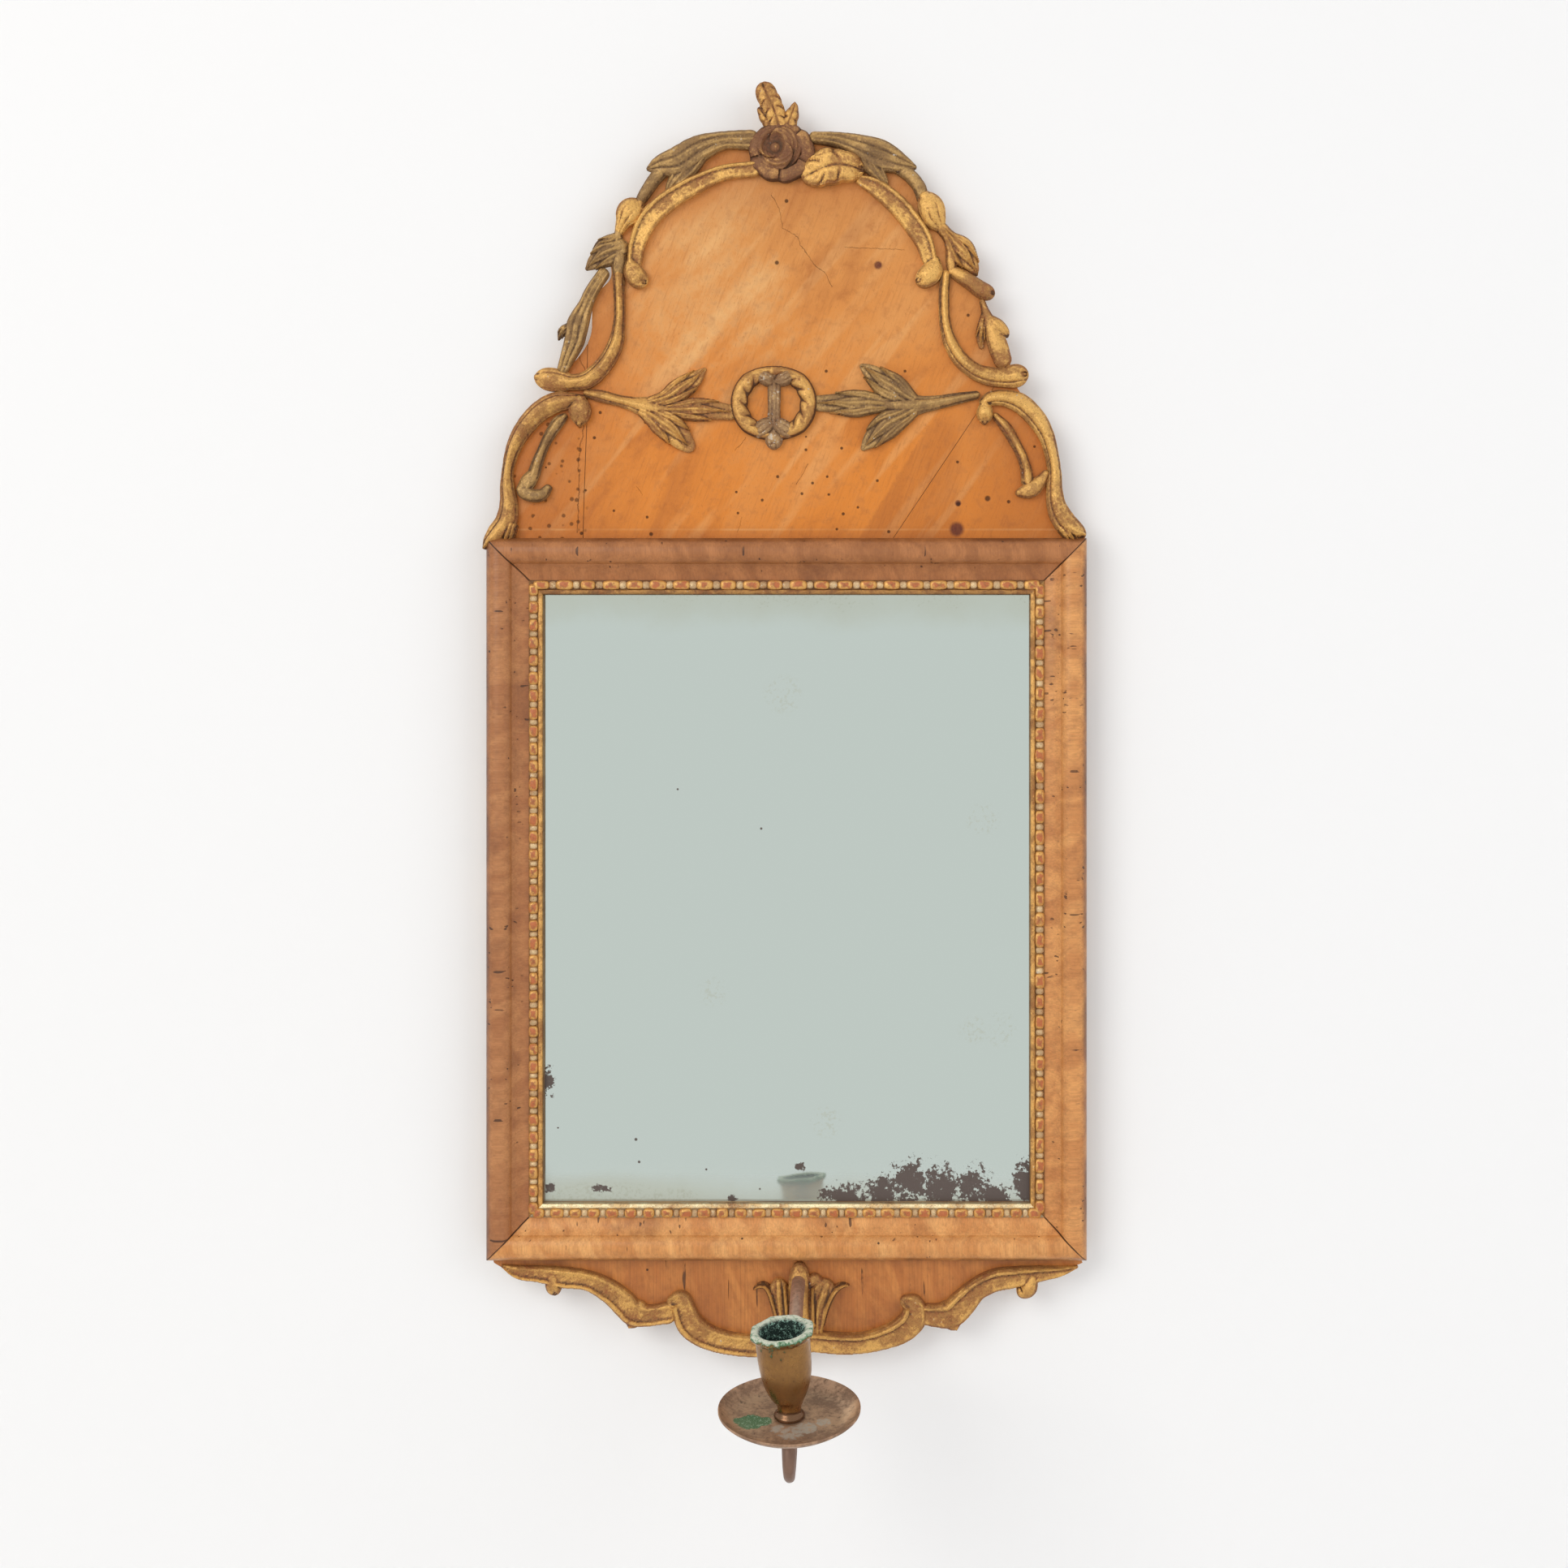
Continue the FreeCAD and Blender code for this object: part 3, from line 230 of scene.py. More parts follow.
    def spots(self, place: tuple[Link, Link], centres: tuple[Point, ...]) -> Link:
        """1 inside round marks.

        Args:
            place: two coordinate links in metres.
            centres: (across, up, radius) of each mark in millimetres, in the row frame.

        Returns:
            A soft-edged mask.
        """
        return reduce(Link.most, [
            self.away(place, across, up).ramp(radius * 1.25 * MM, radius * 0.6 * MM) for across, up, radius in centres
        ])

    def seam(self, place: tuple[Link, Link], start: Point, end: Point, half: float) -> Link:
        """1 along a straight crack from start to end, both (across, up) in millimetres."""
        length = math.dist(start, end)
        way = ((end[0] - start[0]) / length, (end[1] - start[1]) / length)
        dx, dz = place[0] - start[0] * MM, place[1] - start[1] * MM
        along = dx * way[0] + dz * way[1]
        wander = (self.noise(self.join(place[0], 0.0, place[1]), 190.0, 4.0, 0.7) - 0.5) * (3.4 * MM)
        off = abs(dz * way[0] - dx * way[1] + wander)
        return off.ramp(half * 1.5 * MM, half * 0.6 * MM) * (along > 0.0) * (along < length * MM)

    def surface(self, **sockets: Link | Colour | float) -> None:
        """Ends a material in one Principled shader, whose sockets are named with underscores for spaces."""
        named = {key.replace("_", " "): value for key, value in sockets.items()}
        self.finish(self.out(self.make("ShaderNodeBsdfPrincipled", None, named)))

    def finish(self, shader: Link, kind: str = "ShaderNodeOutputMaterial") -> None:
        """Links a shader to the tree's output."""
        self.make(kind, None, {"Surface": shader})

    def blend(
        self, factor: Link, first: bpy.types.Node, second: bpy.types.Node, kind: str = "ShaderNodeOutputMaterial"
    ) -> None:
        """Ends a tree in a shader between first, at 0, and second, at 1."""
        sockets = {0: factor, 1: self.out(first), 2: self.out(second)}
        self.finish(self.out(self.make("ShaderNodeMixShader", None, sockets)), kind)


def new_material(name: str) -> tuple[bpy.types.Material, Board]:
    """An empty node material and the board that writes it."""
    material = bpy.data.materials.new(name)
    material.use_nodes = True
    material.node_tree.nodes.clear()
    return material, Board(material.node_tree)


def placed_object(name: str, data: bpy.types.ID) -> bpy.types.Object:
    """A new object in the scene, at the origin."""
    thing = bpy.data.objects.new(name, data)
    bpy.context.scene.collection.objects.link(thing)
    return thing


# ----------------------------------------------------------------------------------------------- finishes
@dataclass(frozen=True)
class Finish:
    """A finish that writes its own material, on Object coordinates."""

    name: str

    def material(self) -> bpy.types.Material:
        """Builds the material."""
        material, board = new_material(self.name)
        self.lay(board, board.place())
        return material

    def lay(self, board: Board, place: Link) -> None:
        """Writes the finish's nodes.

        Args:
            board: the material's board.
            place: Object coordinates.
        """
        raise NotImplementedError


class Grain(Enum):
    """Which way a board's or veneer's grain runs."""

    UPRIGHT = "upright"
    LEVEL = "level"

    def scale(self, across: float, along: float) -> Point:
        """Scale of a pattern that is drawn out along the grain."""
        return (across, across, along) if self is Grain.UPRIGHT else (along, across, across)


@dataclass(frozen=True)
class CrestVeneer(Finish):
    """Warm waxed veneer with slanting pale figure, worm holes, a dark patch and a few cracks.

    A crack is half its width, then the points that it runs through. A hole or a stain is its place and radius.
    """

    name: str = "crest_veneer"
    orange: Colour = paint(216, 130, 48)
    tan: Colour = paint(211, 142, 75)
    pale: Colour = paint(232, 180, 118)
    brown: Colour = paint(160, 90, 40)
    dark: Colour = paint(48, 26, 16)
    stain: Colour = paint(92, 40, 28)
    slant: float = math.radians(-38.0)
    cracks: tuple[tuple, ...] = (
        (0.12, (-9.7, 33.0), (-4.7, 24.4), (-2.7, 12.3), (6.4, 6.8), (9.4, 0.7), (16.0, -9.4), (24.0, -16.4),
         (28.1, -24.5)),
        (0.09, (36.1, 0.2), (73.5, -1.3)),
        (0.22, (-126.2, -110.7), (-129.7, -133.4), (-129.2, -144.0), (-130.2, -177.3)),
        (0.11, (13.5, -134.4), (5.9, -147.5)),
        (0.09, (-27.9, -167.7), (-30.4, -177.3)),
        (0.11, (-32.4, -126.3), (-24.9, -118.3)),
        (0.09, (-93.4, -148.5), (-89.9, -154.1)),
        (0.22, (-129.2, -67.9), (-125.7, -75.9)),
    )
    holes: tuple[Point, ...] = (
        (-116.1, -102.6, 1.0), (-119.7, -118.3, 1.0), (-87.9, -108.7, 0.9), (-125.2, -151.0, 0.8),
        (-86.9, -167.7, 0.9), (-107.6, -163.7, 0.8), (-127.7, -177.8, 1.1), (-84.4, -178.3, 1.2), (-5.7, -142.5, 1.0),
        (-31.4, -152.1, 0.8), (-15.3, -157.1, 0.9), (-30.4, -165.2, 0.8), (11.9, -125.8, 0.9), (34.1, -124.8, 0.9),
        (25.1, -142.5, 0.8), (16.0, -146.5, 0.9), (9.4, -153.1, 0.9), (26.1, -153.6, 0.8), (56.3, -145.0, 0.9),
        (35.1, -165.7, 1.0), (44.2, -161.6, 0.8), (31.1, -175.2, 0.8), (63.4, -176.8, 1.0), (106.2, -133.4, 0.9),
        (106.7, -159.6, 1.3), (124.9, -156.1, 1.8), (138.0, -158.1, 1.1), (154.1, -123.8, 0.8), (112.8, -42.1, 1.0),
        (73.5, -76.9, 0.9), (24.5, -76.9, 1.0), (-6.2, -9.4, 1.3), (-0.2, 29.0, 1.2), (-138.3, -85.0, 0.9),
        (114.8, -77.9, 0.9),
    )
    stains: tuple[Point, ...] = ((105.7, -175.2, 4.6), (106.5, -159.0, 2.0), (56.8, -10.9, 2.6))
    palest: Point = (-42.0, -32.0)
    pale_reach: float = 95.0

    def lay(self, board: Board, place: Link) -> None:
        """Writes the finish's nodes."""
        x, _, z = board.split(place)
        flat = (x, z)
        cloud = board.drawn(place, (20.0, 1.0, 8.0), self.slant, 4.0, 0.6, 0.7)
        band = board.drawn(place, (62.0, 1.0, 7.0), self.slant, 2.0, 0.5, 0.4)
        streak = board.drawn(place, (760.0, 1.0, 60.0), self.slant * 0.55, 3.0)
        mottle = board.noise(place, 120.0, 5.0, 0.66)
        grit = board.drawn(place, (900.0, 1.0, 420.0), 0.0, 2.0)
        patch = board.away(flat, *self.palest, high=1.25).ramp(self.pale_reach * MM, self.pale_reach * 0.15 * MM)
        light = ((cloud - 0.43) * 3.2 + (mottle - 0.5) * 1.3).ramp(0.0, 1.0, 0.0, 0.95)
        # Darker brown towards the sides, at the foot against the rail and at the crown; at the crown it is painted
        # shade under the carved arch.
        rim = abs(x).ramp(0.08, 0.155, 0.0, 0.5)
        foot = z.ramp(-0.172, -0.18, 0.0, 0.35)
        shaded_crown = z.ramp(0.0, 0.05, 0.0, 0.4)
        line = abs(z + 0.1754 + (cloud - 0.5) * 0.0006).ramp(0.0009, 0.0003, 0.0, 0.3)
        holes = self._holes(board, place, flat)
        cracks = reduce(Link.most, [
            board.seam(flat, start, end, half) for half, *run in self.cracks for start, end in zip(run, run[1:])
        ])
        colour = board.coats(
            board.mix(z.ramp(-0.15, 0.03), self.orange, self.tan),
            (light * (0.2 + patch * 0.8), self.pale),
            (band.ramp(0.56, 0.68, 0.0, 0.3), self.pale),
            (cloud.ramp(0.5, 0.32, 0.0, 0.42), self.brown),
            (mottle.ramp(0.46, 0.76, 0.0, 0.45), self.brown),
            (streak.ramp(0.5, 0.7, 0.0, 0.24), self.brown),
            (grit.ramp(0.6, 0.74, 0.0, 0.42), self.brown),
            (rim.most(foot).most(shaded_crown), self.brown),
            (self._old_patch(flat, mottle) * (0.2 + streak * 0.3), self.brown),
            (line * cloud.ramp(0.4, 0.6, 0.3, 1.0), self.pale),
            (board.spots(flat, self.stains) * (0.7 + grit * 0.4), self.stain),
            (holes * 0.82, self.dark),
            (cracks * mottle.ramp(0.4, 0.56, 0.1, 0.55), self.dark),
        )
        relief = streak * 0.25 + grit * 0.35 + mottle * 1.1 - holes * 1.2 - cracks * 1.5
        board.surface(
            Base_Color=colour, Roughness=mottle.ramp(0.3, 0.7, 0.36, 0.5) + holes * 0.3, Specular_IOR_Level=0.26,
            Normal=board.bump(relief, 0.0003),
        )

    def _old_patch(self, flat: tuple[Link, Link], mottle: Link) -> Link:
        """The darker piece let in beside the slanting joint at the lower right."""
        off = (flat[0] - 0.0876) * 0.848 - (flat[1] + 0.1097) * 0.53 + (mottle - 0.5) * 0.006
        return off.ramp(0.0, 0.0025) * flat[0].ramp(0.112, 0.1) * flat[1].ramp(-0.1, -0.115)

    def _holes(self, board: Board, place: Link, flat: tuple[Link, Link]) -> Link:
        """Worm holes: the ones that show most, a scatter of small ones, and a cluster at the lower left."""
        flattened = board.mapped(place, (1.0, 0.0, 1.0))
        gap, chance = board.cells(flattened, 74.0)
        small = gap.ramp(0.05, 0.03) * (chance > 0.86)
        fine_gap, fine_chance = board.cells(flattened, 210.0)
        low_left = flat[0].ramp(-0.12, -0.13) * flat[1].ramp(-0.09, -0.1)
        worm = fine_gap.ramp(0.34, 0.18) * (fine_chance > 0.42) * low_left
        return board.spots(flat, self.holes).most(small).most(worm * 0.8)


@dataclass(frozen=True)
class RailVeneer(Finish):
    """Cross-banded veneer of one rail: short grain across the rail, worn edges, open mitres."""

    grain: Grain
    light: Colour
    mid: Colour
    deep: Colour = paint(88, 48, 28)
    crack: Colour = paint(58, 34, 22)
    hole: Colour = paint(46, 26, 18)
    seed: float = 0.0
    mitred: bool = True
    checks: float = 0.71

    def lay(self, board: Board, place: Link) -> None:
        """Writes the finish's nodes."""
        x, _, z = board.split(place)
        place = board.mapped(place, (1.0, 1.0, 1.0), shift=self.seed)
        lean = 0.3 if self.grain is Grain.UPRIGHT else 0.18
        flame = board.drawn(place, self.grain.scale(60.0, 14.0), lean, warp=1.0)
        ring = board.drawn(place, self.grain.scale(210.0, 24.0), lean, 3.0, warp=0.5)
        fibre = board.drawn(place, self.grain.scale(1100.0, 26.0), rough=0.66)
        check = board.drawn(place, self.grain.scale(420.0, 24.0), 0.0, 1.0, 0.4)
        patch = board.noise(place, 30.0, 4.0, 0.62)
        mottle = board.noise(place, 190.0, 4.0, 0.66)
        colour = board.coats(
            board.mix(flame.ramp(0.34, 0.66), self.mid, self.light),
            (ring.ramp(0.5, 0.7, 0.0, 0.4), self.mid),
            (fibre.ramp(0.3, 0.8, 0.0, 0.3), self.deep),
            (patch.ramp(0.54, 0.74, 0.0, 0.32), self.deep),
            (mottle.ramp(0.4, 0.8, 0.0, 0.26), self.deep),
        )
        cracked = check.ramp(self.checks, self.checks + 0.03) * patch.ramp(0.48, 0.56)
        if self.mitred:
            across = HALF * MM - abs(x)
            down = (TOP * MM - z).least(z - BOTTOM * MM)
            mitre = abs(across - down + (mottle - 0.5) * 0.0008)
            cracked = cracked.most(mitre.ramp(0.0008, 0.0003) * patch.ramp(0.36, 0.5, 0.5, 1.1))
            edge = across.least(down).ramp(0.0042, 0.0008, 0.0, 0.75) * patch.ramp(0.38, 0.6, 0.3, 1.0)
            colour = board.mix(edge, colour, self.deep)
        gap, chance = board.cells(place, 70.0)
        hole = gap.ramp(0.06, 0.035) * (chance > 0.88)
        relief = fibre * 0.25 + ring * 0.3 + patch * 1.4 + mottle * 0.7 - cracked * 0.9 - hole * 1.4
        board.surface(
            Base_Color=board.coats(colour, (cracked * 0.8, self.crack), (hole * 0.9, self.hole)),
            Roughness=flame.ramp(0.3, 0.7, 0.3, 0.42), Specular_IOR_Level=0.4, Normal=board.bump(relief, 0.0003),
        )


@dataclass(frozen=True)
class Gilding(Finish):
    """Gold leaf rubbed through to red bole, brown wood and white gesso.

    Carved pieces hold their hollows and ridges on their points: the hollows are darkened with dirt and painted shade,
    and the ridges take more leaf as a painted highlight.
    A strip has a ground instead, so many millimetres out from the wall; nearer the wall than that, between the beads,
    it is darkened with painted shadow.
    """

    gold: Colour = paint(216, 166, 92)
    rubbed: Colour = paint(168, 120, 66)
    bole: Colour = paint(144, 88, 50)
    dirt_and_shade: Colour = paint(74, 50, 32)
    gesso: Colour = paint(206, 196, 180)
    worn: float = 0.5
    chips: float = 0.5
    shape_held: bool = True
    shadow_ground: float = 0.0

    def lay(self, board: Board, place: Link) -> None:
        """Writes the finish's nodes."""
        broad = board.noise(place, 46.0, 3.0, 0.6)
        mottle = board.noise(place, 230.0, 4.0, 0.68, 0.4)
        fine = board.noise(place, 620.0, 3.0, 0.62)
        grit = board.noise(place, 1300.0, 2.0, 0.6)
        cover = broad * 0.6 + mottle * 0.5 + fine * 0.25
        # Ridges take more gold leaf, a painted highlight; hollows take less, painted shade.
        if self.shape_held:
            hollow = board.held("hollow")
            cover = cover + board.held("ridge") * 0.09 - hollow * 0.22
        edge = 0.615 + self.worn * 0.13
        leaf = shine = cover.ramp(edge - 0.08, edge + 0.1)
        colour = board.coats(
            board.mix(mottle.ramp(0.38, 0.62), self.rubbed, self.bole),
            (fine.ramp(0.52, 0.7, 0.0, 0.6), self.dirt_and_shade),
            (leaf, self.gold),
            (fine.ramp(0.56, 0.68, 0.0, 0.45), self.bole),
            (grit.ramp(0.56, 0.72, 0.0, 0.5), self.dirt_and_shade),
        )
        # Hollows darken towards the dirt colour: dirt and painted shade.
        if self.shape_held:
            colour = board.mix((hollow * 1.2 + (fine - 0.5) * 0.9).ramp(0.2, 0.95, 0.0, 0.88), colour, self.dirt_and_shade)
            shine = shine * (1.0 - hollow)
        # Nearer the wall than the ground, between the beads, the strip is darkened with painted shadow.
        if self.shadow_ground:
            shadow_between_beads = board.split(place)[1].ramp(-(self.shadow_ground + 0.3) * MM, -(self.shadow_ground - 0.3) * MM)
            colour = board.mix(shadow_between_beads * 0.6, colour, self.dirt_and_shade)
        chip = (mottle * 0.6 + fine * 0.5).ramp(0.735 - self.chips * 0.06, 0.755 - self.chips * 0.06)
        board.surface(
            Base_Color=board.mix(chip * 0.75, colour, self.gesso), Metallic=shine * (1.0 - chip) * 0.42,
            Roughness=leaf.ramp(0.0, 1.0, 0.62, 0.44), Specular_IOR_Level=0.35,
            Normal=board.bump(mottle * 0.9 + fine * 0.6, 0.0007),
        )


@dataclass(frozen=True)
class BeadGilding(Finish):
    """Finish of one long bead: red bole rubbed bare on top, gold left along its sides.

    It reads the attribute "bead", each point's place in its own bead, in metres.
    """

    long: float
    wide: float
    gold: Colour = paint(218, 166, 92)
    bole: Colour = paint(184, 104, 58)
    brown: Colour = paint(140, 86, 50)

    def lay(self, board: Board, place: Link) -> None:
        """Writes the finish's nodes."""
        along, _, across = board.split(board.held("bead", "Vector"))
        mottle = board.noise(place, 330.0, 4.0, 0.66)
        fine = board.noise(place, 900.0, 2.0, 0.6)
        out = (abs(along) / (self.long * 0.5 * MM)).most(abs(across) / (self.wide * 0.5 * MM))
        leaf = (out * 0.7 + (mottle - 0.5) * 2.4).ramp(0.3, 0.86)
        colour = board.coats(
            board.mix(mottle.ramp(0.4, 0.65), self.bole, self.brown),
            (leaf, self.gold), (fine.ramp(0.56, 0.7, 0.0, 0.6), self.brown),
        )
        board.surface(
            Base_Color=colour, Metallic=leaf * 0.45, Roughness=leaf.ramp(0.0, 1.0, 0.5, 0.42),
            Normal=board.bump(mottle, 0.0004),
        )


@dataclass(frozen=True)
class FoxedPlate(Finish):
    """Old silvered glass: pale grey-green, foxed dark at the foot and along the left edge.

    A mound of lost silver is (across, up, half width, half height), a ghost or a dot (across, up, radius).
    """

    name: str = "mirror_plate"
    silver: Colour = paint(193, 203, 197)
    cloud: Colour = paint(182, 186, 170)
    milk: Colour = paint(160, 160, 140)
    fox: Colour = paint(88, 76, 70)
    foot: float = -593.5
    head: float = -216.0
    mounds: tuple[Point, ...] = (
        (36.0, -591.0, 19.0, 10.0), (60.0, -588.0, 14.0, 13.0), (77.0, -582.0, 15.0, 17.0),
        (96.0, -585.0, 16.0, 17.0), (116.0, -586.0, 13.0, 16.0), (130.0, -591.0, 13.0, 10.0),
        (149.0, -582.0, 9.0, 18.0), (8.0, -572.0, 4.0, 3.0), (-150.5, -519.0, 6.0, 12.0),
        (-115.5, -586.0, 6.0, 4.0), (-147.0, -585.0, 4.0, 4.0), (-34.0, -592.0, 4.0, 3.0),
    )
    ghosts: tuple[Point, ...] = (
        (-2.5, -278.0, 12.0), (122.0, -356.0, 10.0), (132.0, -486.0, 11.0), (116.0, -487.0, 9.0),
        (-46.0, -463.0, 9.0), (25.0, -544.0, 10.0),
    )
    dots: tuple[Point, ...] = (
        (-94.0, -555.0, 1.0), (-92.0, -569.0, 0.9), (-68.0, -337.0, 0.7), (-16.0, -361.5, 0.8),
    )

    def lay(self, board: Board, place: Link) -> None:
        """Writes the finish's nodes."""
        x, _, z = board.split(place)
        broad = board.noise(place, 20.0, 4.0, 0.6)
        ragged = board.noise(place, 130.0, 7.0, 0.78)
        speck = board.noise(place, 520.0, 3.0, 0.6)
        low = z.ramp((self.foot + 30.0) * MM, (self.foot + 1.0) * MM)
        high = z.ramp((self.head - 40.0) * MM, self.head * MM)
        field = reduce(Link.most, [
            board.away((x, z), across, up, wide * MM, tall * MM).ramp(1.35, 0.1)
            for across, up, wide, tall in self.mounds
        ])
        fox = (field + (ragged - 0.5) * 3.4 + (speck - 0.5) * 0.8).ramp(0.47, 0.55) * field.ramp(0.0, 0.16)
        fox = fox.most(self._dots(board, place, (x, z), ragged, low))
        haze = (low * x.ramp(-0.02, -0.1, 0.5, 0.8) + high * 0.6 + broad * 0.5).ramp(0.42, 0.95, 0.0, 0.7)
        ghost = board.spots((x, z), self.ghosts) * (ragged * 0.5 + speck * 0.5).ramp(0.5, 0.62, 0.0, 0.5)
        haze = haze.most(ghost)
        milky = (speck * haze).ramp(0.32, 0.5, 0.0, 0.4)
        board.surface(
            Base_Color=board.coats(self.silver, (haze, self.cloud), (milky, self.milk), (fox, self.fox)),
            Metallic=1.0 - fox.most(low * 0.66) * 0.85,
            Roughness=haze * 0.1 + 0.035 + fox * 0.3,
            Normal=board.bump(board.noise(place, 9.0, 1.0, 0.4), 0.0004),
        )

    def _dots(self, board: Board, place: Link, flat: tuple[Link, Link], ragged: Link, low: Link) -> Link:
        """Small separate fox marks, dense near the foot and rare elsewhere."""
        gap, chance = board.cells(board.mapped(place, (1.0, 0.0, 1.0)), 120.0)
        left = flat[0].ramp(-0.06, -0.14) * flat[1].ramp(-0.5, -0.58)
        near = gap.ramp(0.1, 0.06) * (chance + low * 0.42 + left * 0.16 > 1.0)
        return near.most(board.spots(flat, self.dots) * (ragged > 0.44))


@dataclass(frozen=True)
class OldBrass(Finish):
    """Brown brass with a soft shine, verdigris and wax where they are asked for, dull spots, and painted shade below a
    given height.
    """

    metal: Colour
    brown: Colour
    soot: Colour = paint(60, 44, 32)
    green: Colour = paint(78, 138, 96)
    pale_green: Colour = paint(226, 228, 208)
    crust: str = ""
    marks: tuple[Point, ...] = ()
    wax: tuple[Point, ...] = ()
    shine: float = 0.8
    rough: float = 0.36
    mottled: float = 1.0
    painted_shade_below: float = -1.0
    painted_shade_colour: Colour = paint(104, 78, 62)

    def lay(self, board: Board, place: Link) -> None:
        """Writes the finish's nodes."""
        x, y, z = board.split(place)
        broad = board.noise(place, 60.0, 4.0, 0.6)
        fine = board.noise(place, 420.0, 4.0, 0.66)
        grit = board.noise(place, 1400.0, 3.0, 0.6)
        tarnish = (broad * 0.6 + fine * 0.4).ramp(0.4, 0.6)
        colour = board.coats(
            board.mix(tarnish * self.mottled, self.metal, self.brown),
            (fine.ramp(0.6, 0.72, 0.0, 0.6 * self.mottled), self.soot),
            # Below the given height the colour turns to painted shade: the arm under the pan and the nozzle's foot.
            (z.ramp(self.painted_shade_below + 0.0015, self.painted_shade_below, 0.0, 0.85), self.painted_shade_colour),
        )
        metallic = self.shine - tarnish * 0.25
        rough = self.rough + tarnish * 0.12
        relief = fine * (0.35 * self.mottled)
        if self.marks:
            patch = (board.spots((x, y), self.marks) + (fine - 0.5) * 1.6).ramp(0.35, 0.75)
            spots = board.mix((grit * 0.5 + fine * 0.5).ramp(0.52, 0.62), paint(44, 104, 66), paint(150, 180, 150))
            colour = board.mix(patch * 0.85, colour, spots)
            metallic = metallic * (1.0 - patch)
            rough = rough + patch * 0.3
        if self.wax:
            patch = (board.spots((x, y), self.wax) + (fine - 0.5) * 2.6).ramp(0.5, 1.1, 0.0, 0.7)
            colour = board.mix(patch, colour, paint(176, 168, 154))
            metallic = metallic * (1.0 - patch)
        if self.crust:
            amount, inside = board.held(self.crust), board.held("inside")
            shell = (amount + (fine - 0.5) * 1.3 + (broad - 0.5) * 0.8).ramp(0.42, 0.66).most(inside)
            tint = board.mix((amount + (fine - 0.5) * 1.6).ramp(0.6, 1.05), self.green, self.pale_green)
            pit = board.mix((grit + fine).ramp(1.02, 1.16), paint(16, 38, 32), paint(150, 190, 172))
            colour = board.mix(shell, colour, board.mix(inside, tint, pit))
            metallic = metallic * (1.0 - shell)
            rough = rough + shell * 0.4
            relief = relief + shell * (grit * 1.6 + fine * 2.0)
        board.surface(Base_Color=colour, Metallic=metallic, Roughness=rough, Normal=board.bump(relief, 0.0005))


@dataclass(frozen=True)
class BareWood(Finish):
    """Unfinished softwood of the boards behind, with grain, nail-sized holes and handling dirt."""

    grain: Grain
    light: Colour = paint(180, 144, 100)
    dark: Colour = paint(136, 100, 64)
    grime: Colour = paint(66, 48, 34)

    def lay(self, board: Board, place: Link) -> None:
        """Writes the finish's nodes."""
        ring = board.drawn(place, self.grain.scale(120.0, 5.0), 0.0, 4.0, 0.55, 1.5)
        fibre = board.drawn(place, self.grain.scale(900.0, 30.0), 0.0, 3.0)
        grime = board.noise(place, 24.0, 4.0, 0.6)
        gap, chance = board.cells(place, 90.0)
        hole = gap.ramp(0.08, 0.05) * (chance > 0.9)
        colour = board.coats(
            board.mix(ring.ramp(0.38, 0.62), self.light, self.dark),
            (fibre.ramp(0.5, 0.7, 0.0, 0.4), self.dark),
            (grime.ramp(0.48, 0.72, 0.0, 0.55), self.grime),
            (hole, paint(30, 20, 14)),
        )
        board.surface(Base_Color=colour, Roughness=0.78, Normal=board.bump(fibre * 0.5 + ring * 0.5 - hole, 0.0005))


@dataclass(frozen=True)
class DullMetal(Finish):
    """Rusted iron or dull tin."""

    metal: Colour
    spot: Colour
    metallic: float
    rough: float

    def lay(self, board: Board, place: Link) -> None:
        """Writes the finish's nodes."""
        bloom = board.noise(place, 150.0, 4.0, 0.65)
        fine = board.noise(place, 1100.0, 3.0, 0.6)
        board.surface(
            Base_Color=board.mix(bloom.ramp(0.45, 0.62), self.metal, self.spot),
            Metallic=self.metallic * bloom.ramp(0.45, 0.62, 1.0, 0.3),
            Roughness=bloom.ramp(0.4, 0.6, self.rough, self.rough + 0.25),
            Normal=board.bump(bloom + fine * 0.5, 0.0004),
        )




# ------------------------------------------------------------------------------------------------- meshes
@dataclass
class Shell:
    """A mesh being made: points in metres, faces, and values kept on the points."""

    points: np.ndarray
    faces: list | np.ndarray
    held: dict[str, np.ndarray] = field(default_factory=dict)


def raise_mesh(name: str, shell: Shell, material: bpy.types.Material, sharp: float = 40.0) -> bpy.types.Object:
    """Makes an object of a shell, smooth but for its sharp edges.

    Args:
        name: the piece's name.
        shell: its points and faces.
        material: its finish.
        sharp: angle in degrees over which an edge stays sharp.

    Returns:
        The linked object, at the origin.
    """
    mesh = bpy.data.meshes.new(name)
    faces = shell.faces.tolist() if isinstance(shell.faces, np.ndarray) else shell.faces
    mesh.from_pydata(np.asarray(shell.points).tolist(), [], faces)
    mesh.validate()
    mesh.shade_smooth()
    mesh.set_sharp_from_angle(angle=math.radians(sharp))
    for key, values in shell.held.items():
        layer = mesh.attributes.new(key, "FLOAT", "POINT")
        layer.data.foreach_set("value", np.asarray(values, np.float32))
    mesh.materials.append(material)
    return placed_object(name, mesh)


def ripple(points: np.ndarray, pitch: float, seed: int, layers: int = 5) -> np.ndarray:
    """Smooth hand-made unevenness at each point, about -1 to 1, the same on every run.

    Args:
        points: N by 2 or 3 places in millimetres.
        pitch: length of the largest wave.
        seed: picks the directions.
        layers: how many waves are added.

    Returns:
        One value for each point.
    """
    draw = np.random.default_rng(seed)
    total = np.zeros(len(points))
    for layer in range(layers):
        way = draw.normal(size=points.shape[1])
        way /= np.linalg.norm(way)
        total += np.sin(points @ way * (2.0 * math.pi / pitch) * (1.0 + 0.55 * layer) + draw.uniform(0.0, 6.3))
    return total / layers


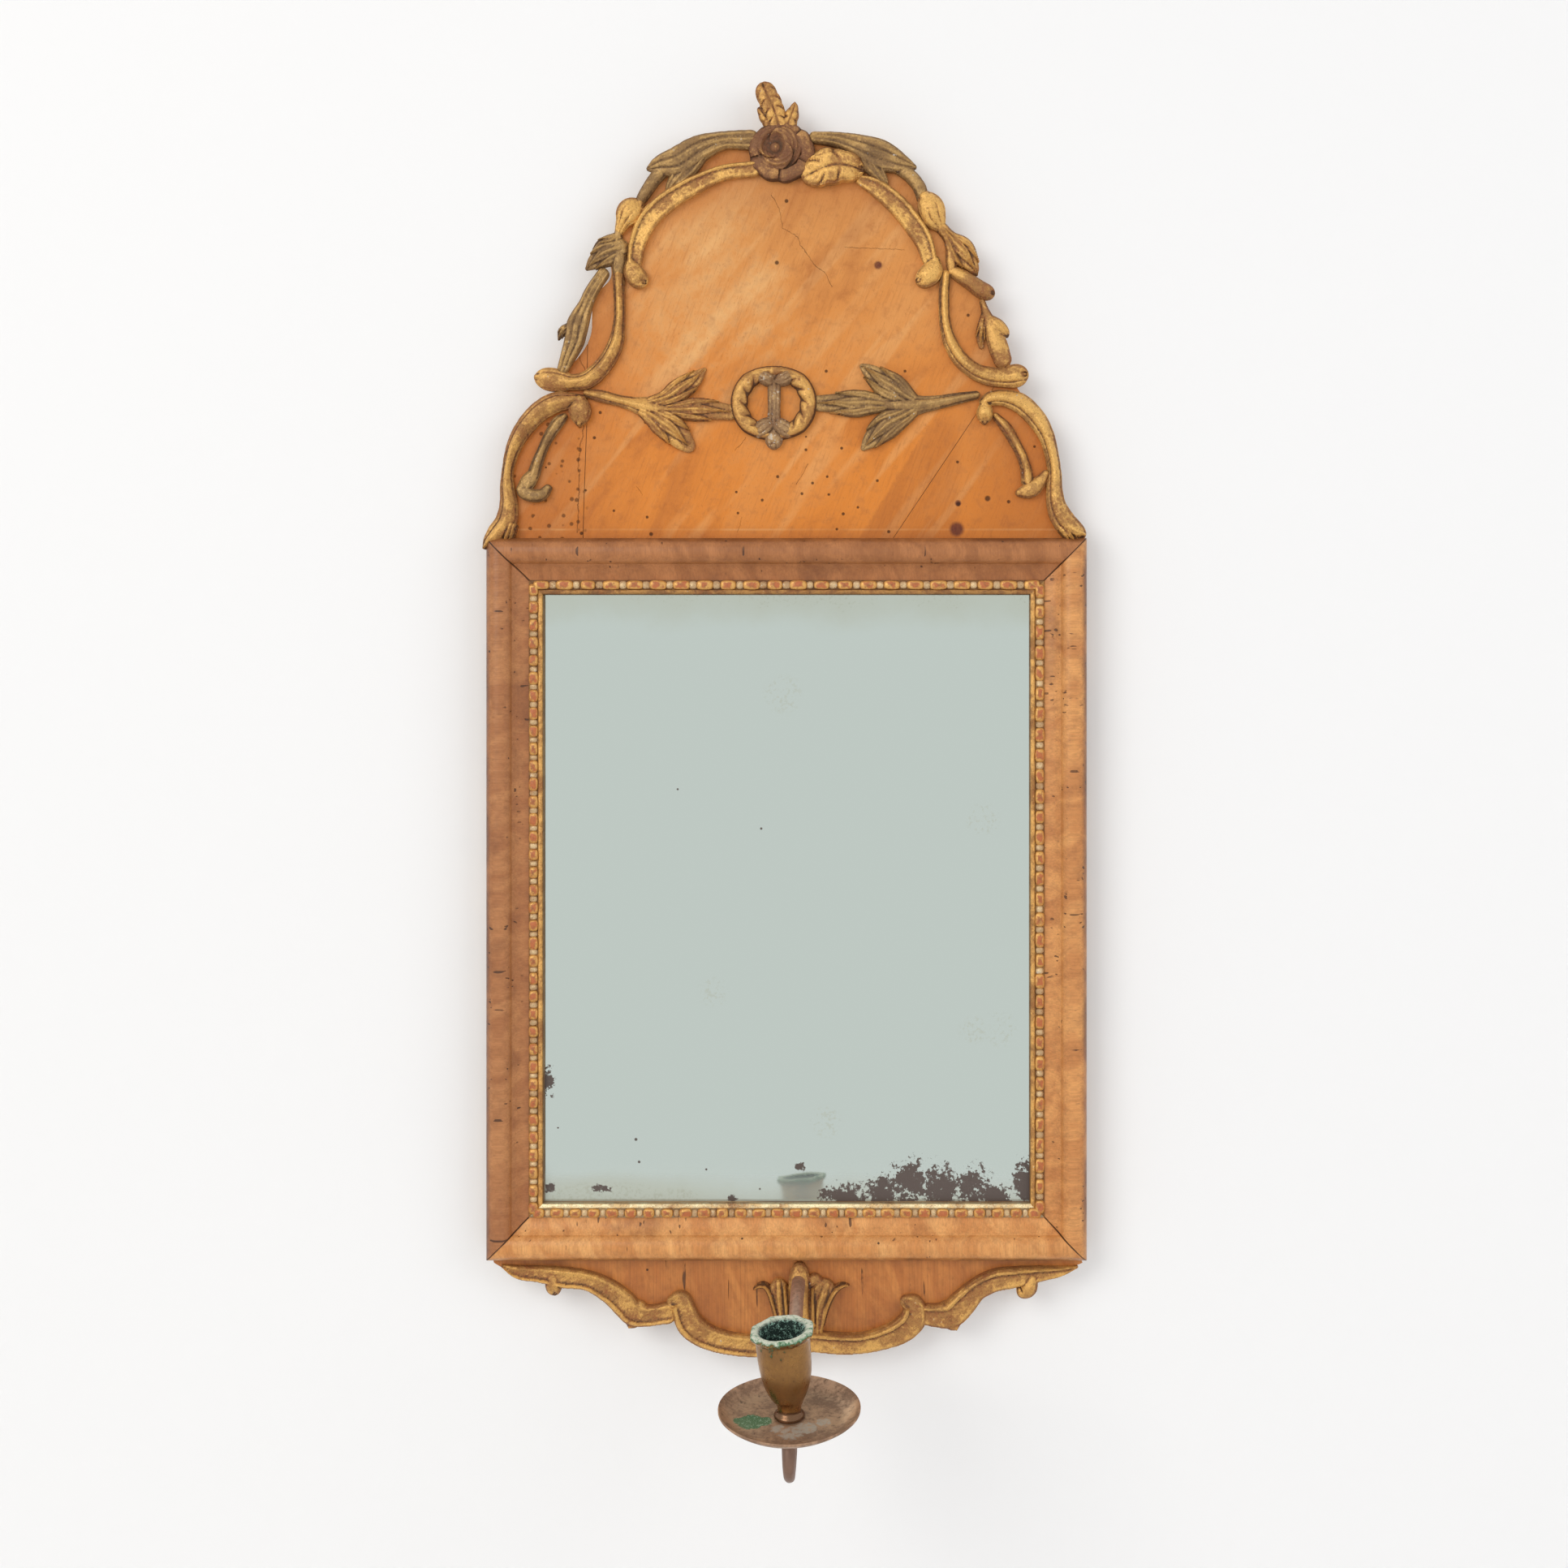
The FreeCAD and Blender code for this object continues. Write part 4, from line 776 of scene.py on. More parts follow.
def blurred(height: np.ndarray, inside: np.ndarray, reach: int) -> np.ndarray:
    """Average of a height map over the carved places within reach cells."""
    def box(values: np.ndarray, axis: int) -> np.ndarray:
        """Sums over the box along one axis."""
        padded = np.concatenate([np.zeros_like(values.take([0], axis)), np.cumsum(values, axis)], axis)
        size = values.shape[axis]
        low = np.clip(np.arange(size) - reach, 0, size)
        high = np.clip(np.arange(size) + reach + 1, 0, size)
        return padded.take(high, axis) - padded.take(low, axis)

    weight = box(box(inside.astype(float), 0), 1)
    total = box(box(np.where(inside, height, 0.0), 0), 1)
    return total / np.maximum(weight, 1.0)


def grid(low: Point, high: Point, cell: float) -> tuple[np.ndarray, np.ndarray]:
    """Places across and up of a square grid between two corners, in millimetres."""
    return np.meshgrid(np.arange(low[0], high[0], cell), np.arange(low[1], high[1], cell))


def wavering(x: np.ndarray, z: np.ndarray, pitch: float, seed: int) -> np.ndarray:
    """Hand-made unevenness over a grid, about -1 to 1."""
    return ripple(np.stack([x.ravel(), z.ravel()], axis=1), pitch, seed).reshape(x.shape)


def hollows_and_ridges(
    height: np.ndarray, inside: np.ndarray, reach: int, deep: float, proud: float, extra: np.ndarray | float = 0.0
) -> dict[str, np.ndarray]:
    """Where a carved surface lies low, where the gilding lays dirt and painted shade, and where it stands proud, where
    it lays a painted highlight.

    Args:
        height: the height map.
        inside: the carved places.
        reach: how many cells the surface is set against.
        deep: millimetres under its surroundings that count as a full hollow.
        proud: millimetres over its surroundings that count as a full ridge.
        extra: what is added to the hollow.

    Returns:
        The values "hollow" and "ridge" for each place.
    """
    soft = blurred(height, inside, reach)
    return {
        "hollow": np.clip((soft - height) / deep + extra, 0.0, 1.0) * inside,
        "ridge": np.clip((height - soft) / proud, 0.0, 1.0) * inside,
    }


class Cut(Enum):
    """How a stroke's section is carved."""

    ROUND = "round"
    RIB = "rib"
    HOLLOW = "hollow"
    LEAF = "leaf"
    FLUTED = "fluted"
    BUD = "bud"
    LOBED = "leaf with a scalloped edge"
    FLAT = "flat"
    FINGER = "one finger of a leaf"
    BED = "the low ground of a leaf"


@dataclass(frozen=True)
class Stroke:
    """One carved stroke: (across, up, width, rise) along its middle line, in millimetres."""

    cut: Cut
    points: tuple[Point, ...]
    lobe: float = 8.5
    outer: float = 1.0

    def line(self, step: float = 0.45) -> np.ndarray:
        """Samples of a smooth line through the points, each with width and rise."""
        knots = np.array(self.points, float)
        knots = np.vstack([2 * knots[0] - knots[1], knots, 2 * knots[-1] - knots[-2]])
        rows = []
        for a, b, c, d in zip(knots, knots[1:], knots[2:], knots[3:]):
            count = max(2, int(np.hypot(*(c - b)[:2]) / step))
            t = np.linspace(0.0, 1.0, count, endpoint=False)[:, None]
            cubic = (2 * a - 5 * b + 4 * c - d) * t**2 + (3 * b - a - 3 * c + d) * t**3
            rows.append(0.5 * (2 * b + (c - a) * t + cubic))
        rows.append(knots[-2][None])
        line = np.vstack(rows)
        line[:, 2] = np.maximum(line[:, 2], 0.6)
        return line

    def parts(self) -> list["Stroke"]:
        """The stroke itself, or for a leaf the pointed fingers that it splits into, over a lower bed."""
        if self.cut is not Cut.LEAF:
            return [self]
        line = self.line(1.6)
        way = np.gradient(line[:, :2], axis=0)
        way /= np.linalg.norm(way, axis=1)[:, None] + 1e-9
        side = np.stack([way[:, 1], -way[:, 0]], axis=1)
        share = np.linspace(0.0, 1.0, len(line))
        widest = line[:, 2].max()
        made = [Stroke(Cut.BED, tuple(map(tuple, line * (1.0, 1.0, 0.86, 0.66))))]
        for lean, reach, wide, rise in ((0.0, 1.0, 0.66, 1.0), (-1.0, 0.88, 0.56, 0.88), (1.0, 0.78, 0.56, 0.88)):
            kept = max(3, int(len(line) * reach))
            own = share[:kept] / reach
            shift = lean * line[:kept, 2] * (0.25 + 0.12 * own**2) + lean * 0.1 * widest * own**3
            place = line[:kept, :2] + side[:kept] * shift[:, None]
            full = np.maximum(line[:kept, 2], widest * 0.45 * (1.0 - own**3))
            width = full * wide * np.clip((1.0 - own) * 1.9, 0.08, 1.0) ** 0.85
            finger = np.column_stack([place, width, line[:kept, 3] * rise])
            made.append(Stroke(Cut.FINGER, tuple(map(tuple, finger))))
        return made

    def lay(self, x: np.ndarray, z: np.ndarray, seed: int) -> tuple[np.ndarray, np.ndarray]:
        """Height and edge measure of the stroke at each place.

        Args:
            x: places across.
            z: places up.
            seed: for the carver's unevenness.

        Returns:
            The height in millimetres, and the edge measure, which is 1 at the outline and less inside it.
        """
        line = self.line()
        half = line[:, 2] / 2.0
        along = np.concatenate([[0.0], np.cumsum(np.hypot(*np.diff(line[:, :2], axis=0).T))])
        if self.cut is Cut.LOBED:
            half = half * (0.88 + 0.2 * np.abs(np.sin(along * math.pi / self.lobe + 0.5)) ** 0.8)
        half = half * (1.0 + 0.03 * ripple(line[:, :2], 17.0, seed))
        travel = np.gradient(line[:, :2], axis=0)
        travel /= np.linalg.norm(travel, axis=1)[:, None] + 1e-9
        dx = x[:, None] - line[None, :, 0]
        dz = z[:, None] - line[None, :, 1]
        measure = np.hypot(dx, dz) / half[None]
        near = np.argmin(measure, axis=1)
        rows = np.arange(len(x))
        edge = measure[rows, near]
        beside = dx[rows, near] * travel[near, 1] - dz[rows, near] * travel[near, 0]
        across = np.clip(beside / half[near], -1.0, 1.0)
        height = line[near, 3] * self._section(edge, across, along[near], along[-1], half[near], seed)
        return height, edge

    def _section(
        self, edge: np.ndarray, across: np.ndarray, along: np.ndarray, length: float, half: np.ndarray, seed: int
    ) -> np.ndarray:
        """Unit height over the section."""
        size = np.clip(edge, 0.0, 0.92)
        dome = np.sqrt(np.clip(1.0 - size**2, 0.0, 1.0))
        firm = np.sqrt(np.clip(1.0 - size**6, 0.0, 1.0))
        side = np.abs(across)
        if self.cut is Cut.ROUND:
            shape = dome
        elif self.cut is Cut.RIB:
            shape = 0.5 * dome + 0.5 * (1.0 - side**1.15) * firm - 0.16 * np.exp(-(((across - 0.55) / 0.1) ** 2))
        elif self.cut is Cut.HOLLOW:
            lip = np.where(across * self.outer > 0.0, 0.34, 0.16)
            dish = 0.66 + lip * np.clip(side / 0.72, 0.0, 1.0) ** 3.0
            shape = dish * firm + 0.14 * (across * self.outer > 0.5) * firm
        elif self.cut is Cut.FINGER:
            nick = 0.07 * np.cos(across * 9.5 + 0.5 * np.sin(along / 3.0)) * np.clip(along / 4.0, 0.0, 1.0)
            shape = 0.55 * dome + 0.35 * (1.0 - side**1.3) * firm + 0.1 + nick * firm
        elif self.cut is Cut.BED:
            shape = firm
        elif self.cut is Cut.LOBED:
            turn = ((along + side * half * 0.55) / self.lobe + 0.16) % 1.0
            crease = np.exp(-((np.minimum(turn, 1.0 - turn) / 0.09) ** 2)) * np.clip(side * 1.5 - 0.1, 0.0, 1.0)
            middle = np.exp(-((across / 0.13) ** 2))
            shape = 0.66 * firm + 0.28 * dome + 0.1 * side - 0.24 * crease - 0.13 * middle
        elif self.cut is Cut.FLUTED:
            flute = 0.09 * np.cos(across * 8.6 + 0.6 * np.sin(along / 9.0))
            flute = flute + 0.03 * np.cos(across * 19.0 + along / 14.0)
            shape = 0.6 * firm + 0.28 * dome + flute * firm
        elif self.cut is Cut.BUD:
            crease = 0.14 * np.exp(-(((side - 0.38) / 0.11) ** 2)) * np.clip(along / max(length, 1.0) * 1.6, 0, 1)
            shape = dome - crease
        else:
            shape = firm
        return 0.3 + 0.7 * shape


RIM_SHARE = 0.9       # height at the outline, as a share of the height beside it


def march(
    x: np.ndarray, z: np.ndarray, edge: np.ndarray, height: np.ndarray, held: dict[str, np.ndarray],
    rise_from: float = TOP,
) -> Shell:
    """Closed mesh of a height map, cut cleanly along its outline, where the edge measure is 1.

    Args:
        x: places across.
        z: places up.
        edge: edge measure.
        height: height over the board.
        held: values to keep on the points.
        rise_from: what the up places are counted from.

    Returns:
        The mesh in metres.
    """
    inside = edge < 1.0
    rows, columns = x.shape
    count = int(inside.sum())
    number = np.full(x.shape, -1)
    number[inside] = np.arange(count)
    spots = [np.stack([x[inside], z[inside], height[inside]], axis=1)]
    values = {key: [layer[inside]] for key, layer in held.items()}
    total = count

    def crossings(dj: int, di: int) -> np.ndarray:
        """Numbers of the outline points on one family of grid edges."""
        nonlocal total
        first = (slice(0, rows - dj), slice(0, columns - di))
        second = (slice(dj, rows), slice(di, columns))
        cross = inside[first] != inside[second]
        ids = np.full(cross.shape, -1)
        found = int(cross.sum())
        ids[cross] = np.arange(total, total + found)
        a, b = np.minimum(edge[first][cross], 3.0), np.minimum(edge[second][cross], 3.0)
        t = np.clip((1.0 - a) / np.where(np.abs(b - a) < 1e-6, 1e-6, b - a), 0.03, 0.97)
        here = inside[first][cross]
        rise = np.where(here, height[first][cross], height[second][cross]) * RIM_SHARE
        spots.append(np.stack([
            x[first][cross] * (1 - t) + x[second][cross] * t,
            z[first][cross] * (1 - t) + z[second][cross] * t,
            rise,
        ], axis=1))
        for key, layer in held.items():
            values[key].append(np.where(here, layer[first][cross], layer[second][cross]))
        total += found
        return ids

    level = crossings(0, 1)
    upright = crossings(1, 0)
    slanting = crossings(1, 1)
    a, b = number[:-1, :-1].ravel(), number[:-1, 1:].ravel()
    c, d = number[1:, 1:].ravel(), number[1:, :-1].ravel()
    low, high = level[:-1].ravel(), level[1:].ravel()
    left, right = upright[:, :-1].ravel(), upright[:, 1:].ravel()
    cross = slanting.ravel()
    front, rim = [], []
    for p, q, r, pq, qr, rp in ((a, b, c, low, right, cross), (a, c, d, cross, high, left)):
        whole = (p >= 0) & (q >= 0) & (r >= 0)
        front.append(np.stack([p[whole], q[whole], r[whole]], axis=1))
        for p1, q1, r1, e1, e2, e3 in ((p, q, r, pq, qr, rp), (q, r, p, qr, rp, pq), (r, p, q, rp, pq, qr)):
            one = (p1 >= 0) & (q1 < 0) & (r1 < 0)
            front.append(np.stack([p1[one], e1[one], e3[one]], axis=1))
            rim.append(np.stack([e1[one], e3[one]], axis=1))
            two = (p1 >= 0) & (q1 >= 0) & (r1 < 0)
            front.append(np.stack([p1[two], q1[two], e2[two]], axis=1))
            front.append(np.stack([p1[two], e2[two], e3[two]], axis=1))
            rim.append(np.stack([e2[two], e3[two]], axis=1))
    faces = np.vstack(front)
    edges = np.vstack(rim)
    top = np.vstack(spots)
    out = np.stack([top[:, 0], -(FACE + top[:, 2]), rise_from + top[:, 1]], axis=1)
    back = out.copy()
    back[:, 1] = -BACK
    wall = np.concatenate([
        np.stack([edges[:, 1], edges[:, 0], edges[:, 0] + total], axis=1),
        np.stack([edges[:, 1], edges[:, 0] + total, edges[:, 1] + total], axis=1),
    ])
    all_faces = np.vstack([faces, faces[:, ::-1] + total, wall])
    kept = {key: np.concatenate([np.concatenate(layers)] * 2) for key, layers in values.items()}
    return Shell(np.vstack([out, back]) * MM, all_faces, kept)


# ---------------------------------------------------------------------------------- the carver's drawings
FINIAL_LEAVES = (
    Stroke(Cut.LOBED, (
        (-5.2, 256.3, 11, 7), (-7.4, 263.9, 12.4, 8), (-10.6, 271.4, 12.6, 8), (-13.4, 277.4, 11, 7),
        (-14.4, 280.2, 4, 5),
    ), 6.2),
    Stroke(Cut.LOBED, ((1.0, 256.8, 9.1, 6), (3.0, 262.0, 8.1, 7), (4.6, 266.8, 5, 5), (5.0, 270.0, 1.6, 4)), 5.0),
    Stroke(Cut.LOBED, (
        (-9.7, 256.8, 8.1, 5), (-13.3, 261.4, 7, 6), (-15.8, 264.8, 4.6, 5), (-17.4, 266.6, 1.6, 4),
    ), 5.0),
)
SIDE_BUD = (
    Stroke(Cut.LOBED, (
        (15.5, 225.6, 13.1, 7), (22.5, 228.6, 19.2, 10), (31.6, 230.6, 19.2, 10), (40.2, 229.6, 15, 9),
        (46.2, 228.6, 5, 4),
    ), 10.5),
    Stroke(Cut.ROUND, ((17.5, 235.0, 7, 7), (24.5, 238.6, 7.5, 9), (29.5, 237.8, 5, 7))),
)
ACANTHUS_LEFT = (
    Stroke(Cut.FLUTED, (
        (-22.8, 247.3, 12.1, 6), (-39, 246.8, 11.1, 7), (-54.1, 241.7, 16.1, 8), (-67.2, 233.7, 18.2, 8),
        (-78.3, 231.6, 11.1, 7), (-85.9, 229.6, 2.5, 3),
    )),
    Stroke(Cut.FLUTED, (
        (-52.1, 240.7, 10.1, 7), (-61.2, 230.6, 13.1, 7), (-69.2, 221.5, 9.1, 6), (-73.8, 214.5, 4, 4),
    )),
    Stroke(Cut.ROUND, (
        (-75.3, 230.6, 9.1, 6), (-82.3, 222.6, 8.1, 6), (-88.4, 213.5, 7.1, 6), (-91.4, 208.9, 5.5, 5),
    )),
)
ACANTHUS_RIGHT = (
    Stroke(Cut.FLUTED, (
        (17.5, 248.8, 7.1, 6), (30.6, 247.3, 9.1, 7), (44.7, 243.2, 14.1, 8), (58.3, 237.7, 18.2, 8),
        (70.9, 232.6, 11.1, 7), (79.5, 230.6, 2.5, 3),
    )),
    Stroke(Cut.FLUTED, (
        (46.7, 239.7, 8.1, 6), (52.8, 231.6, 11.1, 7), (58.8, 223.6, 7.1, 6), (61.4, 219, 4, 4),
    )),
    Stroke(Cut.ROUND, ((68.9, 230.1, 7.1, 5), (76, 225.6, 8.1, 6), (82, 218.5, 8.1, 6), (84.5, 211.5, 7.6, 5))),
)
ARCH_RIB_LEFT = (
    Stroke(Cut.HOLLOW, (
        (-20.8, 229.1, 9.1, 6), (-40, 226.6, 9.1, 6), (-59.1, 218, 11.1, 7), (-75.3, 207.9, 12.1, 7),
        (-86.4, 196.8, 12.1, 7), (-92.4, 183.2, 10.1, 7), (-94.4, 171.1, 8.6, 6),
    ), outer=1.0),
    Stroke(Cut.ROUND, ((-97, 172.1, 5, 6), (-94.9, 165.1, 12.1, 8), (-91.9, 161, 12.1, 8), (-88.9, 159, 5, 5))),
)
ARCH_RIB_RIGHT = (
    Stroke(Cut.HOLLOW, (
        (46.2, 222.1, 6.1, 5), (54.8, 218, 10.1, 6), (67.9, 207.4, 12.1, 7), (78, 195.3, 12.1, 7),
        (85.1, 184.2, 11.1, 7), (88.6, 173.1, 9.1, 6),
    ), outer=-1.0),
    Stroke(Cut.ROUND, (
        (92.1, 172.1, 6.1, 6), (90.1, 165.6, 13.1, 8), (86.1, 161.5, 12.1, 8), (82.5, 160, 5, 5),
    )),
)
BUD_LEFT = (
    Stroke(Cut.BUD, (
        (-91.4, 207.4, 6.1, 6), (-97, 202.9, 15.1, 10), (-101, 196.8, 9.6, 8), (-104, 190.3, 5.5, 5),
    )),
)
BUD_RIGHT = (
    Stroke(Cut.BUD, (
        (86.1, 211, 9.1, 7), (89.6, 204.9, 16.1, 10), (91.6, 198.9, 14.1, 9), (95.1, 193.3, 6.1, 5),
    )),
)
LEAF_LEFT = (
    Stroke(Cut.LEAF, (
        (-104.5, 187.3, 6.1, 5), (-109.6, 184.2, 8.1, 6), (-115.6, 182.7, 6.1, 6), (-120.2, 179.7, 1.5, 2),
    )),
    Stroke(Cut.LEAF, (
        (-102.5, 180.7, 11.1, 6), (-110.6, 177.7, 15.1, 7), (-118.1, 172.6, 11.1, 7), (-124.2, 167.6, 2.5, 3),
    )),
    Stroke(Cut.ROUND, (
        (-104.5, 189.3, 5, 5), (-106, 182.2, 6.1, 5), (-104, 174.2, 8.6, 6), (-104.5, 166.1, 7.6, 6),
    )),
)
LEAF_RIGHT = (
    Stroke(Cut.ROUND, (
        (102.2, 166.6, 5.5, 5), (106.7, 163.6, 8.1, 7), (113.8, 159, 9.1, 8), (120.3, 154.5, 10.1, 8),
        (124.4, 152.5, 9.1, 8), (127.4, 152, 4, 4),
    )),
    Stroke(Cut.ROUND, ((102.2, 165.1, 5, 5), (102.2, 172.1, 7.1, 6), (102.7, 179.2, 8.1, 6))),
    Stroke(Cut.LEAF, (
        (96.1, 192.8, 6.6, 5), (101.2, 186.8, 8.1, 6), (108.7, 177.7, 16.1, 8), (115.3, 169.1, 9.1, 6),
        (117.8, 164.1, 2.5, 3),
    )),
)
VINE_LEFT = (
    Stroke(Cut.FLUTED, (
        (-114.1, 164.1, 7.6, 5), (-120.7, 154, 8.1, 6), (-125.2, 143.9, 9.1, 7), (-129.7, 132.8, 13.1, 7),
        (-131.8, 122.7, 12.1, 7), (-135.8, 112.6, 9.1, 7), (-138.8, 105.6, 7.1, 5),
    )),
    Stroke(Cut.LEAF, ((-134.3, 131.8, 5, 5), (-139.3, 128.3, 5.5, 5), (-141.8, 123.7, 1.5, 2))),
)
VINE_RIGHT = (
    Stroke(Cut.ROUND, (
        (121.4, 147.4, 3.5, 4), (123.4, 140.9, 5, 5), (127.4, 130.3, 9.1, 6), (130.9, 120.2, 12.1, 7),
        (134, 111.1, 11.1, 6),
    )),
    Stroke(Cut.BUD, ((126.4, 136.8, 4, 5), (130.4, 131.8, 9.1, 7), (134.5, 128.3, 7.1, 6), (137, 125.8, 2, 3))),
    Stroke(Cut.LEAF, (
        (122.4, 139.9, 3, 4), (121.4, 132.8, 5, 5), (120.3, 125.2, 6.1, 5), (120.9, 119.2, 3.5, 3),
    )),
)
C_SCROLL_LEFT = (
    Stroke(Cut.RIB, (
        (-104.5, 163.1, 7.6, 6), (-104, 150.5, 7.1, 7), (-104, 135.3, 7.1, 7), (-106.5, 120.2, 9.6, 8),
        (-113.6, 107.6, 10.6, 8), (-123.7, 98.5, 11.1, 8), (-133.8, 97, 10.1, 7), (-140.8, 98, 13.1, 6),
        (-148.4, 99, 14.1, 6), (-153.9, 100, 6.1, 4),
    )),
)
C_SCROLL_RIGHT = (
    Stroke(Cut.RIB, (
        (98.7, 163.1, 6.6, 6), (97.7, 150.5, 7.1, 7), (98.2, 135.3, 7.1, 7), (101.2, 122.7, 8.6, 8),
        (107.2, 112.1, 9.6, 8), (116.3, 104.1, 10.1, 8), (126.4, 100.5, 11.6, 8), (136.5, 100, 12.6, 7),
        (142.5, 101, 14.1, 8), (146.6, 101.5, 6.1, 5),
    )),
)
FOOT_SCROLL_LEFT = (
    Stroke(Cut.RIB, (
        (-127.7, 86.4, 6.1, 6), (-134.8, 85.4, 10.1, 8), (-143.4, 84.4, 12.6, 8), (-153.9, 78.4, 12.6, 8),
        (-163.5, 67.8, 11.1, 8), (-169.6, 56.2, 9.1, 8), (-173.1, 43.1, 7.1, 7), (-173.6, 32, 8.6, 7),
        (-172.6, 20.9, 11.1, 8), (-174.1, 10.8, 13.1, 9), (-179.1, 3.2, 13.1, 10), (-183.9, -1.8, 8.1, 10),
        (-187.2, -5.8, 2.4, 9),
    )),
    Stroke(Cut.LEAF, ((-171.1, 7.8, 8.1, 8), (-173.1, 1.2, 7.1, 9), (-176.1, -4.3, 2, 9))),
    Stroke(Cut.ROUND, ((-128.7, 85.4, 7.1, 7), (-128.2, 78.9, 13.6, 9), (-128.7, 71.8, 5, 5))),
)
FOOT_SCROLL_RIGHT = (
    Stroke(Cut.RIB, (
        (122.4, 84.4, 6.1, 6), (127.4, 86.9, 9.1, 8), (136.5, 86.9, 10.6, 8), (145.6, 83.4, 12.1, 8),
        (154.1, 75.3, 12.1, 8), (160.7, 64.7, 10.1, 8), (164.2, 53.1, 8.6, 8), (166.2, 41, 8.6, 7),
        (166.2, 30, 10.1, 7), (167.7, 19.4, 12.1, 8), (172.4, 10.3, 14.1, 9), (178.8, 4.4, 11.8, 10),
        (183.4, 2.5, 4.6, 9),
    )),
    Stroke(Cut.LEAF, ((172.8, 6.8, 10.1, 8), (176.8, 0.2, 6.1, 9), (178.8, -2.8, 2, 9))),
    Stroke(Cut.ROUND, ((122.9, 82.4, 6.1, 7), (122.9, 77.3, 10.1, 9), (122.9, 72.8, 4.5, 5))),
)
BRANCH_LEFT = (
    Stroke(Cut.RIB, (
        (-138.4, 75.4, 4.4, 5), (-142.3, 71.8, 7.6, 6), (-147.9, 63.2, 6.6, 6), (-151.9, 54.7, 6.1, 6),
        (-154.9, 47.1, 7.1, 6), (-157.5, 39, 7.6, 6), (-160.5, 32, 6, 6),
    )),
    Stroke(Cut.ROUND, ((-156.5, 41.5, 5, 5), (-160, 35.8, 9.6, 6), (-164.3, 30.6, 7, 5))),
    Stroke(Cut.ROUND, (
        (-166, 30.2, 4, 5), (-162.4, 28.4, 8.6, 6), (-157, 26.4, 8.1, 7), (-151.8, 27.2, 7.1, 7),
        (-148.4, 31, 5, 5),
    )),
)
BRANCH_RIGHT = (
    Stroke(Cut.RIB, (
        (129.9, 75.8, 4.5, 5), (136.5, 68.3, 7.1, 6), (142, 59.2, 6.6, 6), (146.1, 51.1, 6.6, 6),
        (148.6, 43.1, 7.1, 6), (149.6, 36, 8.1, 6),
    )),
    Stroke(Cut.ROUND, ((160.7, 40, 5, 5), (156.6, 34.5, 8.1, 6), (151.1, 30, 10.1, 7), (144.5, 28.4, 5, 4))),
)
SPRAY_LEFT = (
    Stroke(Cut.RIB, (
        (-123.7, 90, 5.5, 5), (-115.6, 88.4, 7.6, 6), (-105.5, 85.9, 7.1, 6), (-95.5, 83.4, 9.1, 6),
        (-84.4, 80.9, 13.1, 7), (-72.3, 79.9, 7.1, 5),
    )),
    Stroke(Cut.LEAF, (
        (-84.4, 84.4, 7.1, 6), (-75.3, 86.9, 9.6, 7), (-66.2, 92.5, 13.1, 7), (-57.6, 98.5, 11.1, 6),
        (-51.1, 105.1, 2.5, 3),
    )),
    Stroke(Cut.LEAF, (
        (-89.4, 79.4, 8.1, 6), (-81.3, 74.8, 13.1, 7), (-72.3, 68.3, 17.1, 8), (-65.7, 62.2, 16.1, 7),
        (-61.2, 57.7, 10.1, 3),
    )),
    Stroke(Cut.LEAF, (
        (-79.3, 79.4, 7.1, 5), (-67.2, 79.9, 10.1, 6), (-55.1, 79.9, 14.1, 6), (-45, 79.4, 13.1, 6),
        (-35.5, 78.4, 11.1, 5),
    )),
)
SPRAY_RIGHT = (
    Stroke(Cut.RIB, (
        (117.3, 88.9, 5.5, 5), (106.2, 86.9, 7.1, 6), (96.1, 84.9, 8.1, 6), (86.1, 83.4, 10.1, 6),
        (75, 82.4, 13.1, 7), (60.9, 82.9, 7.1, 5),
    )),
    Stroke(Cut.LEAF, (
        (78, 85.4, 9.1, 6), (68.9, 91.5, 15.1, 7), (60.3, 97, 16.1, 7), (52.3, 103.1, 11.1, 6),
        (46.7, 107.1, 3.5, 3),
    )),
    Stroke(Cut.LEAF, (
        (78, 79.4, 9.1, 6), (68.9, 73.8, 13.1, 7), (60.3, 68.8, 16.1, 7), (53.3, 62.2, 12.6, 6),
        (47.7, 56.2, 4, 3),
    )),
    Stroke(Cut.LEAF, (
        (63.9, 83.4, 8.1, 5), (53.8, 83.9, 12.1, 6), (40.7, 83.9, 16.1, 6), (30.6, 83.9, 13.6, 6),
        (19.5, 83.9, 11.1, 5),
    )),
)
RING_BAR = (
    Stroke(Cut.FLUTED, ((-7.8, 98.5, 8.1, 5), (-7.8, 89.4, 8.1, 6), (-7.8, 80.4, 7.6, 6), (-7.8, 70.3, 8.6, 6))),
    Stroke(Cut.BUD, ((-8.0, 97.0, 3, 5), (-11.6, 98.6, 8.6, 8), (-15.2, 100.6, 7.6, 7), (-17.6, 102.4, 3, 4))),
    Stroke(Cut.BUD, ((-7.6, 97.0, 3, 5), (-2.0, 98.8, 8.6, 8), (1.4, 101.0, 7.6, 7), (3.4, 103.0, 3, 4))),
    Stroke(Cut.BUD, ((-8.6, 72.6, 4, 5), (-12.8, 69.6, 10.2, 8), (-16.6, 66.8, 9.2, 7), (-19.4, 65.4, 3, 4))),
    Stroke(Cut.BUD, ((-7.2, 72.6, 4, 5), (-3.6, 69.2, 10.2, 8), (0.2, 66.8, 9.2, 7), (3.2, 65.6, 3, 4))),
    Stroke(Cut.ROUND, ((-8.0, 66.0, 5, 6), (-7.9, 61.6, 11.1, 7), (-8.1, 58.6, 7, 5))),
)
